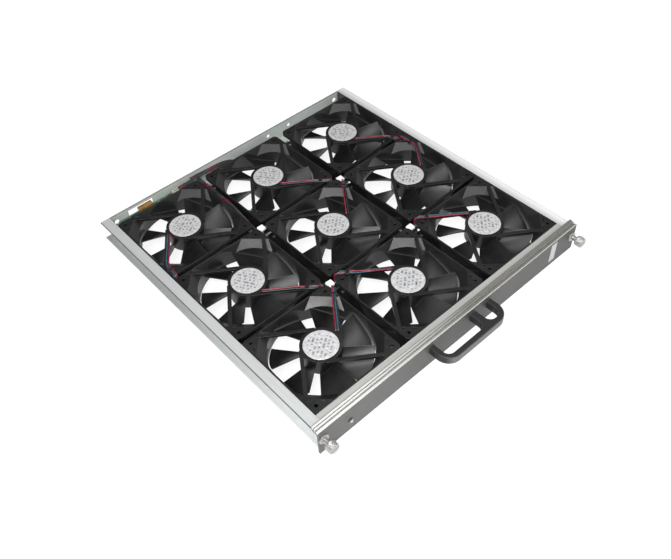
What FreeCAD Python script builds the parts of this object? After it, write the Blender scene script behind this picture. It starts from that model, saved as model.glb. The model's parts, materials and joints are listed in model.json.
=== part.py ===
import FreeCAD, Part
import math
import os
import re

import Sketcher

# Fan tray of a rack chassis: nine axial fans in a three by three grid, standing on two side
# rails and two bearers, closed by a sheet wall at the rear and a ribbed panel with a pull
# handle and captive screws at the front. Millimetres, +Z up, +X along the front panel seen
# from the front, +Y to the rear. The origin is under the middle fan, on the rails' underside.

SIZES = {
    # Fan frame
    "fan_size": 120.0,
    "fan_depth": 25.4,
    "column_gap": 10.6,
    "row_gap": 6.0,
    "fan_corner": 5.5,
    "flange_thick": 4.0,
    "screw_inset": 7.5,
    "screw_bore": 4.3,
    "duct_rim": 2.0,
    "duct_wall": 1.7,
    "flare_depth": 10.0,
    "flare_rim": 1.5,
    "flare_wall": 1.4,
    "corner_land": 18.35,
    "recess_length": 5.0,
    "recess_width": 2.4,
    "recess_depth": 2.0,
    "recess_inset": 3.0,
    "recess_spread": 6.6,
    # Motor carrier in the middle of the fan frame
    "strut_width": 4.4,
    "strut_depth": 3.2,
    "strut_hub_offset": 20.6,
    "strut_end_offset": 9.6,
    "strut_seat": 4.0,
    "base_radius": 23.0,
    "base_thick": 2.6,
    "tube_radius": 5.5,
    "bearing_radius": 4.0,
    # Rotor
    "hub_radius": 22.5,
    "hub_wall": 2.4,
    "hub_floor": 1.6,
    "hub_nose": 2.2,
    "rotor_lift": 2.0,
    "rotor_gap": 1.0,
    "yoke_wall": 3.0,
    "yoke_floor": 1.2,
    "shaft_radius": 1.5,
    "shaft_fit": 0.03,
    "bearing_fit": 0.05,
    "air_gap": 0.7,
    "blade_count": 7,
    "blade_thick": 1.3,
    "root_chord": 24.0,
    "root_pitch": 46.0,
    "root_sag": 2.0,
    "tip_chord": 46.0,
    "tip_pitch": 22.0,
    "tip_sag": 3.6,
    "tip_sweep": 4.0,
    "tip_gap": 1.5,
    # Rails, bearers and walls
    "sheet_thick": 1.2,
    "side_gap": 0.4,
    "rail_flange": 12.5,
    "rail_ledge": 15.0,
    "bearer_lap": 13.7,
    "rear_gap": 17.0,
    "front_gap": 0.4,
    "front_strip": 8.6,
    "foot_depth": 12.0,
    "wall_fit": 0.2,
    "guide_hole": 6.5,
    "guide_inset": 7.5,
    "guide_drop": 11.0,
    "vent_hole": 5.0,
    "vent_inner_x": 60.0,
    "vent_outer_x": 97.0,
    "vent_drop": 10.0,
    # Front panel
    "panel_depth": 10.0,
    "face_thick": 2.5,
    "back_thick": 2.5,
    "panel_drop": 9.0,
    "deck_thick": 2.6,
    "rib_rise": 4.4,
    "rib_width": 2.8,
    "groove_rise": 2.8,
    "groove_width": 0.8,
    "ridge_rise": 3.6,
    "ridge_width": 1.8,
    "valley_rise": 1.3,
    "valley_width": 1.4,
    "lip_rise": 2.4,
    # Handle
    "handle_width": 98.0,
    "handle_reach": 28.0,
    "handle_height": 11.0,
    "handle_drop": 5.0,
    "grip_width": 7.2,
    "arm_width": 7.0,
    "leg_width": 9.0,
    "small_window": 18.0,
    "handle_corner": 17.0,
    "window_corner": 8.0,
    "handle_round": 1.4,
    "handle_screw": 4.0,
    "handle_screw_depth": 9.0,
    # Captive screws and status lamp
    "captive_inset": 6.0,
    "ferrule_radius": 6.0,
    "ferrule_flange": 2.4,
    "barrel_radius": 4.6,
    "barrel_end": 0.6,
    "shank_radius": 3.0,
    "shank_fit": 0.05,
    "thread_radius": 2.5,
    "groove_radius": 2.1,
    "ring_radius": 4.2,
    "ring_thick": 1.0,
    "ring_play": 0.1,
    "knob_radius": 6.2,
    "knob_length": 8.6,
    "knob_travel": 5.5,
    "tip_reach": 1.0,
    "slot_width": 1.2,
    "slot_depth": 1.6,
    "lamp_radius": 2.5,
    "lamp_flange": 3.3,
    "lamp_inset": 41.5,
    "lamp_height": 7.0,
    # Control board and its pieces
    "board_length": 119.0,
    "board_width": 14.0,
    "board_thick": 1.6,
    "board_drop": 12.0,
    "board_inset": 9.5,
    "board_back_gap": 0.8,
    "board_hole": 2.6,
    "standoff_radius": 2.6,
    "plug_length": 20.0,
    "plug_depth": 6.0,
    "plug_height": 4.2,
    "plug_inset": 48.7,
    "plug_wall": 1.0,
    "slot_length": 36.0,
    "slot_inset": 43.1,
    "slot_top_drop": 4.4,
    "slot_play": 0.6,
    "header_length": 15.0,
    "header_width": 6.5,
    "header_height": 6.2,
    "header_wall": 1.0,
    "header_inset": 117.0,
    "header_pitch": 22.0,
    # Fasteners, posts and leads
    "fan_screw_head": 3.6,
    "fan_screw_rise": 1.8,
    "fan_screw_radius": 2.0,
    "rivet_radius": 1.6,
    "rivet_head": 3.0,
    "rivet_rise": 0.8,
    "panel_screw_x": 60.0,
    "panel_screw_outer_x": 170.0,
    "post_radius": 1.6,
    "post_head_width": 8.4,
    "post_head_thick": 2.6,
    "post_head_corner": 1.0,
    "post_shift": 1.9,
    "post_drop": 5.0,
    "lead_radius": 0.8,
    "lead_pitch": 1.9,
    "lead_rest": 0.15,
    "bundle_radius": 2.2,
    "bundle_shift": 2.6,
}

doc = FreeCAD.newDocument("fan_tray")
sheet = doc.addObject("Spreadsheet::Sheet", "Sizes")
for row, (alias, number) in enumerate(SIZES.items(), start=1):
    sheet.set(f"A{row}", alias)
    sheet.set(f"B{row}", str(number))
    sheet.setAlias(f"B{row}", alias)
doc.recompute()

# Places that several pieces share, as formulas of the sizes
PITCH_X = "(fan_size + column_gap)"
PITCH_Y = "(fan_size + row_gap)"
WEB = f"({PITCH_X} + fan_size / 2 + side_gap)"
OUTER = f"({WEB} + rail_flange)"
TOP = "(sheet_thick + fan_depth)"
FAN_END = f"({PITCH_Y} + fan_size / 2)"
WALL_INSIDE = f"({FAN_END} + rear_gap)"
REAR = f"({WALL_INSIDE} + sheet_thick)"
STRIP_BACK = f"({FAN_END} + front_gap)"
PANEL_BACK = f"({STRIP_BACK} + front_strip)"
PANEL_FACE = f"({PANEL_BACK} + panel_depth)"
FOOT_TOP = "(2 * sheet_thick)"
BASE_UNDER = "(fan_depth - base_thick)"
ROTOR_TOP = f"({BASE_UNDER} - rotor_gap)"
CORE_FLOOR = "(rotor_lift + hub_floor)"
CORE_TOP = f"({CORE_FLOOR} + yoke_floor)"
YOKE_OUTER = "(hub_radius - hub_wall)"
YOKE_INNER = f"({YOKE_OUTER} - yoke_wall)"
SCREW_OFFSET = "(fan_size / 2 - screw_inset)"
DUCT = "(fan_size / 2 - duct_rim)"
FLARE_CHORD = "(fan_size / sqrt(2) - corner_land)"
CAPTIVE_X = f"({OUTER} - captive_inset)"
LAMP_X = f"({OUTER} - lamp_inset)"
CAPTIVE_Z = f"({TOP} / 2)"
BOARD_TOP = f"({TOP} - board_drop)"
BOARD_UNDER = f"({BOARD_TOP} - board_thick)"
BOARD_BACK = f"({WALL_INSIDE} - board_back_gap)"
BOARD_LEFT = f"({WEB} - board_inset)"
PLUG_X = f"({WEB} - plug_inset)"
SLOT_X = f"({WEB} - slot_inset)"
HEADER_X = f"({WEB} - header_inset)"
HANDLE_TOP = f"({TOP} - handle_drop)"
HANDLE_SCREW_X = "(handle_width / 2 - arm_width / 2)"
HANDLE_SCREW_Z = f"({HANDLE_TOP} - handle_height / 2)"

nodes = {}


def bound(formula):
    """The formula with each size's name led by the sheet's name."""
    return re.sub(r"[a-z][a-z_]+", lambda word: f"Sizes.{word[0]}" if word[0] in SIZES else word[0], formula)


def value(formula):
    """The number that a formula of the sizes comes to."""
    return float(sheet.evalExpression(bound(formula)))


def bind(obj, **formulas):
    """Tie each named property to its formula."""
    for name, formula in formulas.items():
        obj.setExpression(name, bound(formula))


def place(obj, x="0", y="0", z="0", turn=None):
    """Set an object down at three formulas, turned by a fixed rotation."""
    if turn is not None:
        obj.Placement = FreeCAD.Placement(FreeCAD.Vector(), turn)
    for axis, formula in zip("xyz", (x, y, z)):
        obj.setExpression(f"Placement.Base.{axis}", bound(formula))


def keep(node, obj):
    """Give a finished sub-part its node name."""
    obj.Label = node
    nodes[node] = obj
    return obj


def new_body(name):
    return doc.addObject("PartDesign::Body", name)


def new_sketch(body, name, plane, offset="0"):
    """A sketch on one of the body's own origin planes, lifted along the plane's normal."""
    sketch = body.newObject("Sketcher::SketchObject", name)
    support = next(item for item in body.Origin.OriginFeatures if item.Role == plane)
    sketch.AttachmentSupport = (support, "")
    sketch.MapMode = "FlatFace"
    sketch.setExpression("AttachmentOffset.Base.z", bound(offset))
    return sketch


def pin(sketch, geometry, point, x, y):
    """Hold one point of the sketch at two formulas."""
    for kind, formula in (("DistanceX", x), ("DistanceY", y)):
        rule = Sketcher.Constraint(kind, -1, 1, geometry, point, value(formula))
        index = sketch.addConstraint(rule)
        sketch.setExpression(f"Constraints[{index}]", bound(formula))


def draw_polygon(sketch, corners):
    """A closed outline of straight edges through corners given as pairs of formulas."""
    first = sketch.GeometryCount
    count = len(corners)
    points = [FreeCAD.Vector(value(x), value(y), 0) for x, y in corners]
    for i in range(count):
        sketch.addGeometry(Part.LineSegment(points[i], points[(i + 1) % count]))
    for i in range(count):
        sketch.addConstraint(Sketcher.Constraint("Coincident", first + i, 2, first + (i + 1) % count, 1))
    for i, (x, y) in enumerate(corners):
        pin(sketch, first + i, 1, x, y)


def draw_rectangle(sketch, x0, y0, x1, y1):
    draw_polygon(sketch, [(x0, y0), (x1, y0), (x1, y1), (x0, y1)])


def draw_circle(sketch, x, y, radius):
    centre = FreeCAD.Vector(value(x), value(y), 0)
    circle = sketch.addGeometry(Part.Circle(centre, FreeCAD.Vector(0, 0, 1), value(radius)))
    pin(sketch, circle, 3, x, y)
    index = sketch.addConstraint(Sketcher.Constraint("Radius", circle, value(radius)))
    sketch.setExpression(f"Constraints[{index}]", bound(radius))


def add_pad(body, sketch, length, backwards=False, both_ways=False):
    pad = body.newObject("PartDesign::Pad", "Pad")
    pad.Profile = sketch
    pad.Reversed = backwards
    if both_ways:
        pad.SideType = "Symmetric"
    bind(pad, Length=length)
    return pad


def add_pocket(body, sketch, length=None, backwards=False):
    """Cut the sketch into the body, by a length or right through, and see that it cuts."""
    doc.recompute()
    before = body.Shape.Volume
    pocket = body.newObject("PartDesign::Pocket", "Pocket")
    pocket.Profile = sketch
    pocket.Reversed = backwards
    if length is None:
        pocket.Type = "ThroughAll"
    else:
        bind(pocket, Length=length)
    doc.recompute()
    if body.Shape.Volume >= before:
        raise RuntimeError(f"{sketch.Label} cuts nothing")
    return pocket


def add_revolution(body, sketch):
    turned = body.newObject("PartDesign::Revolution", "Revolution")
    turned.Profile = sketch
    turned.ReferenceAxis = (sketch, ["V_Axis"])
    turned.Angle = 360
    return turned


def add_pattern(body, sketch, feature, count):
    """Repeat a feature evenly round the axis of an XY sketch."""
    pattern = body.newObject("PartDesign::PolarPattern", "PolarPattern")
    pattern.Originals = [feature]
    pattern.Axis = (sketch, ["N_Axis"])
    pattern.Angle = 360
    bind(pattern, Occurrences=count)
    body.Tip = pattern
    return pattern


def upright_edges(shape, spots):
    """Names of the straight edges along Z that stand at the given x, y spots."""
    names = []
    for number, edge in enumerate(shape.Edges, start=1):
        start, end = edge.Vertexes[0].Point, edge.Vertexes[-1].Point
        if math.hypot(end.x - start.x, end.y - start.y) > 1e-6:
            continue
        if any(math.hypot(start.x - x, start.y - y) < 1e-4 for x, y in spots):
            names.append(f"Edge{number}")
    return names


def add_fillet(body, edges, radius):
    base = body.Tip
    fillet = body.newObject("PartDesign::Fillet", "Fillet")
    fillet.Base = (base, edges)
    bind(fillet, Radius=radius)
    return fillet


def copy_of(master, name, x="0", y="0", z="0", turn=None):
    """A linked copy of a master piece, set down at formulas."""
    link = doc.addObject("App::Link", name)
    link.LinkedObject = master
    place(link, x, y, z, turn)
    return link


def group(node, pieces):
    """Identical loose pieces that share one node."""
    together = doc.addObject("Part::Compound", node)
    together.Links = pieces
    return keep(node, together)


def turned_piece(name, profile):
    """A body of revolution about Z from a half profile of radius and height formulas."""
    body = new_body(name)
    sketch = new_sketch(body, f"{name}_profile", "XZ_Plane")
    draw_polygon(sketch, profile)
    add_revolution(body, sketch)
    return body


# Fans of the grid: name, column, row, lead corner in quarter turns from the rear right
# corner, whether the leads leave by the corner's other side, how far along that side they
# leave, and the rotor's resting turn
FANS = [
    ("front_left", -1, -1, 0, False, 50.5, 39),
    ("front_middle", 0, -1, 1, False, 50.5, 0),
    ("front_right", 1, -1, 1, False, 50.5, 28),
    ("middle_left", -1, 0, 3, False, 50.5, 50),
    ("centre", 0, 0, 0, False, 50.5, 36),
    ("middle_right", 1, 0, 0, True, 50.0, 16),
    ("rear_left", -1, 1, 2, True, 50.0, 35),
    ("rear_middle", 0, 1, 3, False, 50.5, 10),
    ("rear_right", 1, 1, 3, False, 41.5, 16),
]


def fan_place(column, row):
    """Formulas of a fan's place on the rails."""
    return f"{column} * {PITCH_X}", f"{row} * {PITCH_Y}", "sheet_thick"


def octagon(side, chord):
    """Corners of a square of half width side, cut off across its diagonals at chord."""
    other = f"({chord} * sqrt(2) - {side})"
    quarter = [(side, other), (other, side)]
    corners = []
    for sx, sy in ((1, 1), (-1, 1), (-1, -1), (1, -1)):
        ends = quarter if sx * sy > 0 else quarter[::-1]
        corners += [(f"{sx} * {x}", f"{sy} * {y}") for x, y in ends]
    return corners


def diagonal(along, across):
    """A point by its reach along the fan's diagonal and its offset across it."""
    return f"({along} + {across}) / sqrt(2)", f"({along} - {across}) / sqrt(2)"


def add_flare(body, kind, name, rim, chord, foot):
    """A loft from an octagon in the outlet's rim to one inside a circle at the flare's foot."""
    top = new_sketch(body, f"{name}_top", "XY_Plane", "fan_depth")
    draw_polygon(top, octagon(rim, chord))
    low = new_sketch(body, f"{name}_foot", "XY_Plane", "fan_depth - flare_depth")
    inscribed = f"({foot} * cos(22.5))"
    draw_polygon(low, octagon(inscribed, inscribed))
    loft = body.newObject(f"PartDesign::{kind}Loft", name)
    loft.Profile = top
    loft.Sections = [low]
    loft.Ruled = True


def make_fan_frame():
    """Square fan housing: two corner flanges on a round duct, whose outlet flares into the
    corners, with four swept struts that carry the motor base and the bearing tube."""
    body = new_body("fan_frame")
    half = "fan_size / 2"
    outline = new_sketch(body, "frame_outline", "XY_Plane")
    draw_rectangle(outline, f"-{half}", f"-{half}", half, half)
    add_pad(body, outline, "fan_depth")
    doc.recompute()
    spot = value(half)
    corners = [(sx * spot, sy * spot) for sx in (-1, 1) for sy in (-1, 1)]
    add_fillet(body, upright_edges(body.Shape, corners), "fan_corner")

    waist = new_sketch(body, "frame_waist", "XY_Plane", "flange_thick")
    draw_rectangle(waist, "-fan_size", "-fan_size", "fan_size", "fan_size")
    ring = f"({DUCT} + duct_wall)"
    draw_circle(waist, "0", "0", ring)
    add_pocket(body, waist, "fan_depth - 2 * flange_thick", backwards=True)

    # The flare's skin below the upper flange, then the round duct and the flare inside it
    rim = "(fan_size / 2 - flare_rim)"
    add_flare(body, "Additive", "flare_skin", f"({rim} + flare_wall)", f"({FLARE_CHORD} + flare_wall)", ring)
    duct = new_sketch(body, "frame_duct", "XY_Plane")
    draw_circle(duct, "0", "0", DUCT)
    add_pocket(body, duct, backwards=True)
    add_flare(body, "Subtractive", "flare", rim, FLARE_CHORD, DUCT)

    bores = new_sketch(body, "frame_bores", "XY_Plane")
    for sx in (-1, 1):
        for sy in (-1, 1):
            draw_circle(bores, f"{sx} * {SCREW_OFFSET}", f"{sy} * {SCREW_OFFSET}", "screw_bore / 2")
    add_pocket(body, bores, backwards=True)

    # Two shallow recesses beside each corner's screw bore
    recess = new_sketch(body, "corner_recess", "XY_Plane", "fan_depth")
    near = f"({FLARE_CHORD} + recess_inset - recess_width / 2)"
    far = f"({FLARE_CHORD} + recess_inset + recess_width / 2)"
    for side in (-1, 1):
        first = f"{side} * (recess_spread - recess_length / 2)"
        last = f"{side} * (recess_spread + recess_length / 2)"
        draw_polygon(recess, [
            diagonal(near, first), diagonal(near, last), diagonal(far, last), diagonal(far, first),
        ])
    one_corner = add_pocket(body, recess, "recess_depth")
    add_pattern(body, recess, one_corner, "4")

    base = new_sketch(body, "motor_base", "XY_Plane", "fan_depth")
    draw_circle(base, "0", "0", "base_radius")
    add_pad(body, base, "base_thick", backwards=True)

    # One strut, along a line that leaves the hub's rim and ends in the corner flange
    strut = new_sketch(body, "strut", "XY_Plane", "fan_depth")
    hub_reach = "sqrt(base_radius ^ 2 - strut_hub_offset ^ 2)"
    end_reach = f"({FLARE_CHORD} + strut_seat)"
    edges = []
    for reach, offset, side in (
        (hub_reach, "strut_hub_offset", 1),
        (end_reach, "strut_end_offset", 1),
        (end_reach, "strut_end_offset", -1),
        (hub_reach, "strut_hub_offset", -1),
    ):
        across = f"({offset} + {side} * strut_width / 2)"
        along = f"({reach} - strut_width / 2)" if reach == hub_reach else reach
        edges.append(diagonal(along, across))
    draw_polygon(strut, edges)
    one_strut = add_pad(body, strut, "strut_depth", backwards=True)
    doc.recompute()
    add_pattern(body, strut, one_strut, "4")

    tube = new_sketch(body, "bearing_tube", "XY_Plane", BASE_UNDER)
    draw_circle(tube, "0", "0", "tube_radius")
    draw_circle(tube, "0", "0", "bearing_radius")
    add_pad(body, tube, f"{BASE_UNDER} - {CORE_TOP} - rotor_gap", backwards=True)
    return body


def blade_section(body, name, reach, chord, pitch, sag, sweep):
    """A cambered blade section across a radius: two like arcs, one blade thickness apart."""
    sketch = new_sketch(body, name, "YZ_Plane", reach)
    middle = "((rotor_lift + fan_depth - strut_depth - rotor_gap) / 2)"
    run = f"({chord} / 2 * cos({pitch}))"
    rise = f"({chord} / 2 * sin({pitch}))"
    bend = f"(({chord} ^ 2 / 4 + {sag} ^ 2) / (2 * {sag}))"
    turn = math.radians(value(pitch))
    ends = []
    for lift in ("-blade_thick / 2", "blade_thick / 2"):
        low = (f"{sweep} - {run}", f"{middle} - {rise} + {lift}")
        high = (f"{sweep} + {run}", f"{middle} + {rise} + {lift}")
        points = [FreeCAD.Vector(value(x), value(y), 0) for x, y in (low, high)]
        belly = FreeCAD.Vector(math.sin(turn), -math.cos(turn), 0) * value(sag)
        arc = Part.Arc(points[0], (points[0] + points[1]) / 2 + belly, points[1])
        index = sketch.addGeometry(arc)
        reversed_ends = sketch.getPoint(index, 1).distanceToPoint(points[0]) > 1e-6
        low_end, high_end = (2, 1) if reversed_ends else (1, 2)
        pin(sketch, index, low_end, *low)
        pin(sketch, index, high_end, *high)
        rule = sketch.addConstraint(Sketcher.Constraint("Radius", index, value(bend)))
        sketch.setExpression(f"Constraints[{rule}]", bound(bend))
        ends.append((index, low_end, high_end))
    (lower, lower_low, lower_high), (upper, upper_low, upper_high) = ends
    for from_end, to_end in ((lower_low, upper_low), (lower_high, upper_high)):
        start, end = sketch.getPoint(lower, from_end), sketch.getPoint(upper, to_end)
        edge = sketch.addGeometry(Part.LineSegment(start, end))
        sketch.addConstraint(Sketcher.Constraint("Coincident", edge, 1, lower, from_end))
        sketch.addConstraint(Sketcher.Constraint("Coincident", edge, 2, upper, to_end))
    return sketch


def make_impeller():
    """Moulded rotor: a hub cup with a rounded nose and twisted, cambered blades, whose tips
    are turned down to clear the duct."""
    body = new_body("impeller")
    cup = new_sketch(body, "hub_profile", "XZ_Plane")
    inner = YOKE_OUTER
    draw_polygon(cup, [
        ("0", "rotor_lift"), ("hub_radius - hub_nose", "rotor_lift"), ("hub_radius", "rotor_lift + hub_nose"),
        ("hub_radius", ROTOR_TOP), (inner, ROTOR_TOP), (inner, CORE_FLOOR), ("0", CORE_FLOOR),
    ])
    add_revolution(body, cup)
    sunk = f"{YOKE_OUTER} + hub_wall / 8"
    root = blade_section(body, "blade_root", sunk, "root_chord", "root_pitch", "root_sag", "0")
    tip = blade_section(body, "blade_tip", DUCT, "tip_chord", "tip_pitch", "tip_sag", "tip_sweep")
    blade = body.newObject("PartDesign::AdditiveLoft", "Blade")
    blade.Profile = root
    blade.Sections = [tip]
    blade.Ruled = True
    turning = new_sketch(body, "turning_axis", "XY_Plane")
    doc.recompute()
    add_pattern(body, turning, blade, "blade_count")
    trim = new_sketch(body, "tip_trim", "XZ_Plane")
    draw_rectangle(trim, f"{DUCT} - tip_gap", "-fan_depth", "fan_size", "2 * fan_depth")
    groove = body.newObject("PartDesign::Groove", "TipTrim")
    groove.Profile = trim
    groove.ReferenceAxis = (trim, ["V_Axis"])
    groove.Angle = 360
    groove.Refine = False
    return body


def make_rotor_core():
    """Steel yoke ring with its magnet and the shaft pressed into its floor."""
    shaft_top = f"{BASE_UNDER} - rotor_gap / 2"
    ring_top = f"{ROTOR_TOP} - hub_wall / 2"
    return turned_piece("rotor_core", [
        ("0", CORE_FLOOR), (YOKE_OUTER, CORE_FLOOR), (YOKE_OUTER, ring_top), (YOKE_INNER, ring_top),
        (YOKE_INNER, CORE_TOP), ("shaft_radius", CORE_TOP), ("shaft_radius", shaft_top), ("0", shaft_top),
    ])


def make_stator():
    """Stack of laminations with four poles round the bearing tube."""
    body = new_body("stator")
    low = f"({CORE_TOP} + 2 * rotor_gap)"
    poles = new_sketch(body, "stator_outline", "XY_Plane", low)
    draw_circle(poles, "0", "0", f"{YOKE_INNER} - air_gap")
    draw_circle(poles, "0", "0", "tube_radius + bearing_fit")
    add_pad(body, poles, f"{BASE_UNDER} - {low}")
    slots = new_sketch(body, "stator_slots", "XY_Plane", BASE_UNDER)
    draw_rectangle(slots, "2 * tube_radius", "-strut_width / 2", "hub_radius", "strut_width / 2")
    slot = add_pocket(body, slots)
    add_pattern(body, slots, slot, "4")
    return body


def make_bearing():
    """Sleeve bearing that fills the tube of the motor base."""
    low, high = f"({CORE_TOP} + rotor_gap)", BASE_UNDER
    bore, rim = "shaft_radius + shaft_fit", "bearing_radius - bearing_fit"
    return turned_piece("sleeve_bearing", [(bore, low), (rim, low), (rim, high), (bore, high)])


def make_fans():
    frame, impeller, core = make_fan_frame(), make_impeller(), make_rotor_core()
    stator, bearing = make_stator(), make_bearing()
    stators, bearings = [], []
    for name, column, row, _, _, _, rest_turn in FANS:
        spot = fan_place(column, row)
        turn = FreeCAD.Rotation(FreeCAD.Vector(0, 0, 1), rest_turn)
        keep(f"fan_frame_{name}", copy_of(frame, f"frame_{name}", *spot))
        keep(f"impeller_{name}", copy_of(impeller, f"rotor_{name}", *spot, turn))
        keep(f"rotor_core_{name}", copy_of(core, f"core_{name}", *spot))
        stators.append(copy_of(stator, f"stator_{name}", *spot))
        bearings.append(copy_of(bearing, f"bearing_{name}", *spot))
    group("motor_stators", stators)
    group("sleeve_bearings", bearings)


def fan_screw_rows():
    """Formulas of the fan screws' places along the tray, two to a fan in each row."""
    return [f"{row} * {PITCH_Y} + {side} * {SCREW_OFFSET}" for row in (-1, 0, 1) for side in (-1, 1)]


def cut_vents(body, name, columns):
    """Open a round vent under each fan of the given columns."""
    for column in columns:
        vents = new_sketch(body, f"{name}_vents", "XY_Plane", "sheet_thick")
        for row in (-1, 0, 1):
            draw_circle(vents, f"{column} * {PITCH_X}", f"{row} * {PITCH_Y}", DUCT)
        add_pocket(body, vents, "sheet_thick")


def make_rail(name, side):
    """Side rail: a channel open to the outside, with an inner ledge under the outer fans. Its
    web and lower flange run on under the panel's deck to the face."""
    body = new_body(name)
    web, outer = f"{side} * {WEB}", f"{side} * {OUTER}"
    web_out = f"{side} * ({WEB} + sheet_thick)"
    ledge = f"{side} * ({WEB} - rail_ledge)"
    profile = new_sketch(body, f"{name}_profile", "XZ_Plane", f"-{REAR}")
    draw_polygon(profile, [
        (ledge, "0"), (outer, "0"), (outer, "sheet_thick"), (web_out, "sheet_thick"),
        (web_out, f"{TOP} - sheet_thick"), (outer, f"{TOP} - sheet_thick"), (outer, TOP), (web, TOP),
        (web, "sheet_thick"), (ledge, "sheet_thick"),
    ])
    add_pad(body, profile, f"{REAR} + {PANEL_BACK}")
    fore = new_sketch(body, f"{name}_fore", "XZ_Plane", PANEL_BACK)
    under_deck = f"{TOP} - deck_thick - wall_fit"
    draw_polygon(fore, [
        (web, "0"), (outer, "0"), (outer, "sheet_thick"), (web_out, "sheet_thick"), (web_out, under_deck),
        (web, under_deck),
    ])
    add_pad(body, fore, "panel_depth - face_thick - wall_fit")
    bores = new_sketch(body, f"{name}_bores", "XY_Plane", "sheet_thick")
    for y in fan_screw_rows():
        draw_circle(bores, f"{side} * ({PITCH_X} + {SCREW_OFFSET})", y, "screw_bore / 2")
    for y in rivet_rows():
        draw_circle(bores, f"{side} * ({WEB} - rail_ledge / 2)", y, "rivet_radius")
    add_pocket(body, bores)
    cut_vents(body, name, [side])
    keep(name, body)


def make_bearer(name, side):
    """Flat bearer under the gap between two columns of fans, with their screw bores."""
    body = new_body(name)
    middle = f"{side} * {PITCH_X} / 2"
    half = "(column_gap / 2 + bearer_lap)"
    outline = new_sketch(body, f"{name}_outline", "XY_Plane")
    draw_rectangle(
        outline, f"{middle} - {half}", f"-{PANEL_BACK}", f"{middle} + {half}", REAR)
    add_pad(body, outline, "sheet_thick")
    bores = new_sketch(body, f"{name}_bores", "XY_Plane", "sheet_thick")
    inset = f"({PITCH_X} / 2 - {SCREW_OFFSET})"
    for y in fan_screw_rows():
        for across in (-1, 1):
            draw_circle(bores, f"{middle} + {across} * {inset}", y, "screw_bore / 2")
    for y in rivet_rows():
        draw_circle(bores, middle, y, "rivet_radius")
    add_pocket(body, bores)
    cut_vents(body, name, [0, side])
    keep(name, body)


def rivet_rows():
    """Formulas of the two rivet rows, through the foot of the rear and of the front wall."""
    return f"{WALL_INSIDE} - foot_depth / 2", f"-({PANEL_BACK} - front_strip / 2)"


def rivet_columns():
    """Formulas of the rivets' places across the tray: each rail and each bearer."""
    rail, bearer = f"({WEB} - rail_ledge / 2)", f"{PITCH_X} / 2"
    return f"-{rail}", f"-{bearer}", bearer, rail


def make_rear_wall():
    """Sheet wall behind the fans on an inner foot, with guide holes and the plug's slot."""
    body = new_body("rear_wall")
    profile = new_sketch(body, "wall_profile", "YZ_Plane")
    toe = f"{WALL_INSIDE} - foot_depth"
    draw_polygon(profile, [
        (toe, "sheet_thick"), (REAR, "sheet_thick"), (REAR, TOP), (WALL_INSIDE, TOP),
        (WALL_INSIDE, FOOT_TOP), (toe, FOOT_TOP),
    ])
    add_pad(body, profile, f"2 * ({WEB} - wall_fit)", both_ways=True)
    holes = new_sketch(body, "wall_holes", "XZ_Plane", f"-{REAR}")
    for side in (-1, 1):
        draw_circle(holes, f"{side} * ({WEB} - guide_inset)", f"{TOP} - guide_drop", "guide_hole / 2")
    for x in ("vent_inner_x", "vent_outer_x"):
        draw_circle(holes, x, f"{TOP} - vent_drop", "vent_hole / 2")
    draw_rectangle(holes, f"-{SLOT_X} - slot_length / 2", f"{BOARD_TOP} - slot_play",
                   f"-{SLOT_X} + slot_length / 2", f"{TOP} - slot_top_drop")
    add_pocket(body, holes, "2 * sheet_thick", backwards=True)
    rivets = new_sketch(body, "wall_rivet_bores", "XY_Plane", FOOT_TOP)
    for x in rivet_columns():
        draw_circle(rivets, x, rivet_rows()[0], "rivet_radius")
    for x in standoff_columns():
        draw_circle(rivets, x, f"{BOARD_BACK} - board_width / 2", "board_hole / 2")
    add_pocket(body, rivets, "sheet_thick")
    keep("rear_wall", body)


def make_front_wall():
    """Channel across the front, open to the fans: its top flange is the strip behind the panel."""
    body = new_body("front_wall")
    back, front = f"-{STRIP_BACK}", f"-{PANEL_BACK}"
    web = f"-({PANEL_BACK} - sheet_thick)"
    profile = new_sketch(body, "front_profile", "YZ_Plane")
    draw_polygon(profile, [
        (back, "sheet_thick"), (front, "sheet_thick"), (front, TOP), (back, TOP),
        (back, f"{TOP} - sheet_thick"), (web, f"{TOP} - sheet_thick"), (web, FOOT_TOP), (back, FOOT_TOP),
    ])
    add_pad(body, profile, f"2 * ({WEB} - wall_fit)", both_ways=True)
    bores = new_sketch(body, "front_bores", "XZ_Plane", PANEL_BACK)
    for x in panel_screw_columns():
        draw_circle(bores, x, CAPTIVE_Z, "fan_screw_radius")
    add_pocket(body, bores, "sheet_thick")
    rivets = new_sketch(body, "front_rivet_bores", "XY_Plane", FOOT_TOP)
    for x in rivet_columns():
        draw_circle(rivets, x, rivet_rows()[1], "rivet_radius")
    add_pocket(body, rivets, "sheet_thick")
    keep("front_wall", body)


def panel_screw_columns():
    return [f"{side} * {x}" for x in ("panel_screw_x", "panel_screw_outer_x") for side in (-1, 1)]


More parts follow.
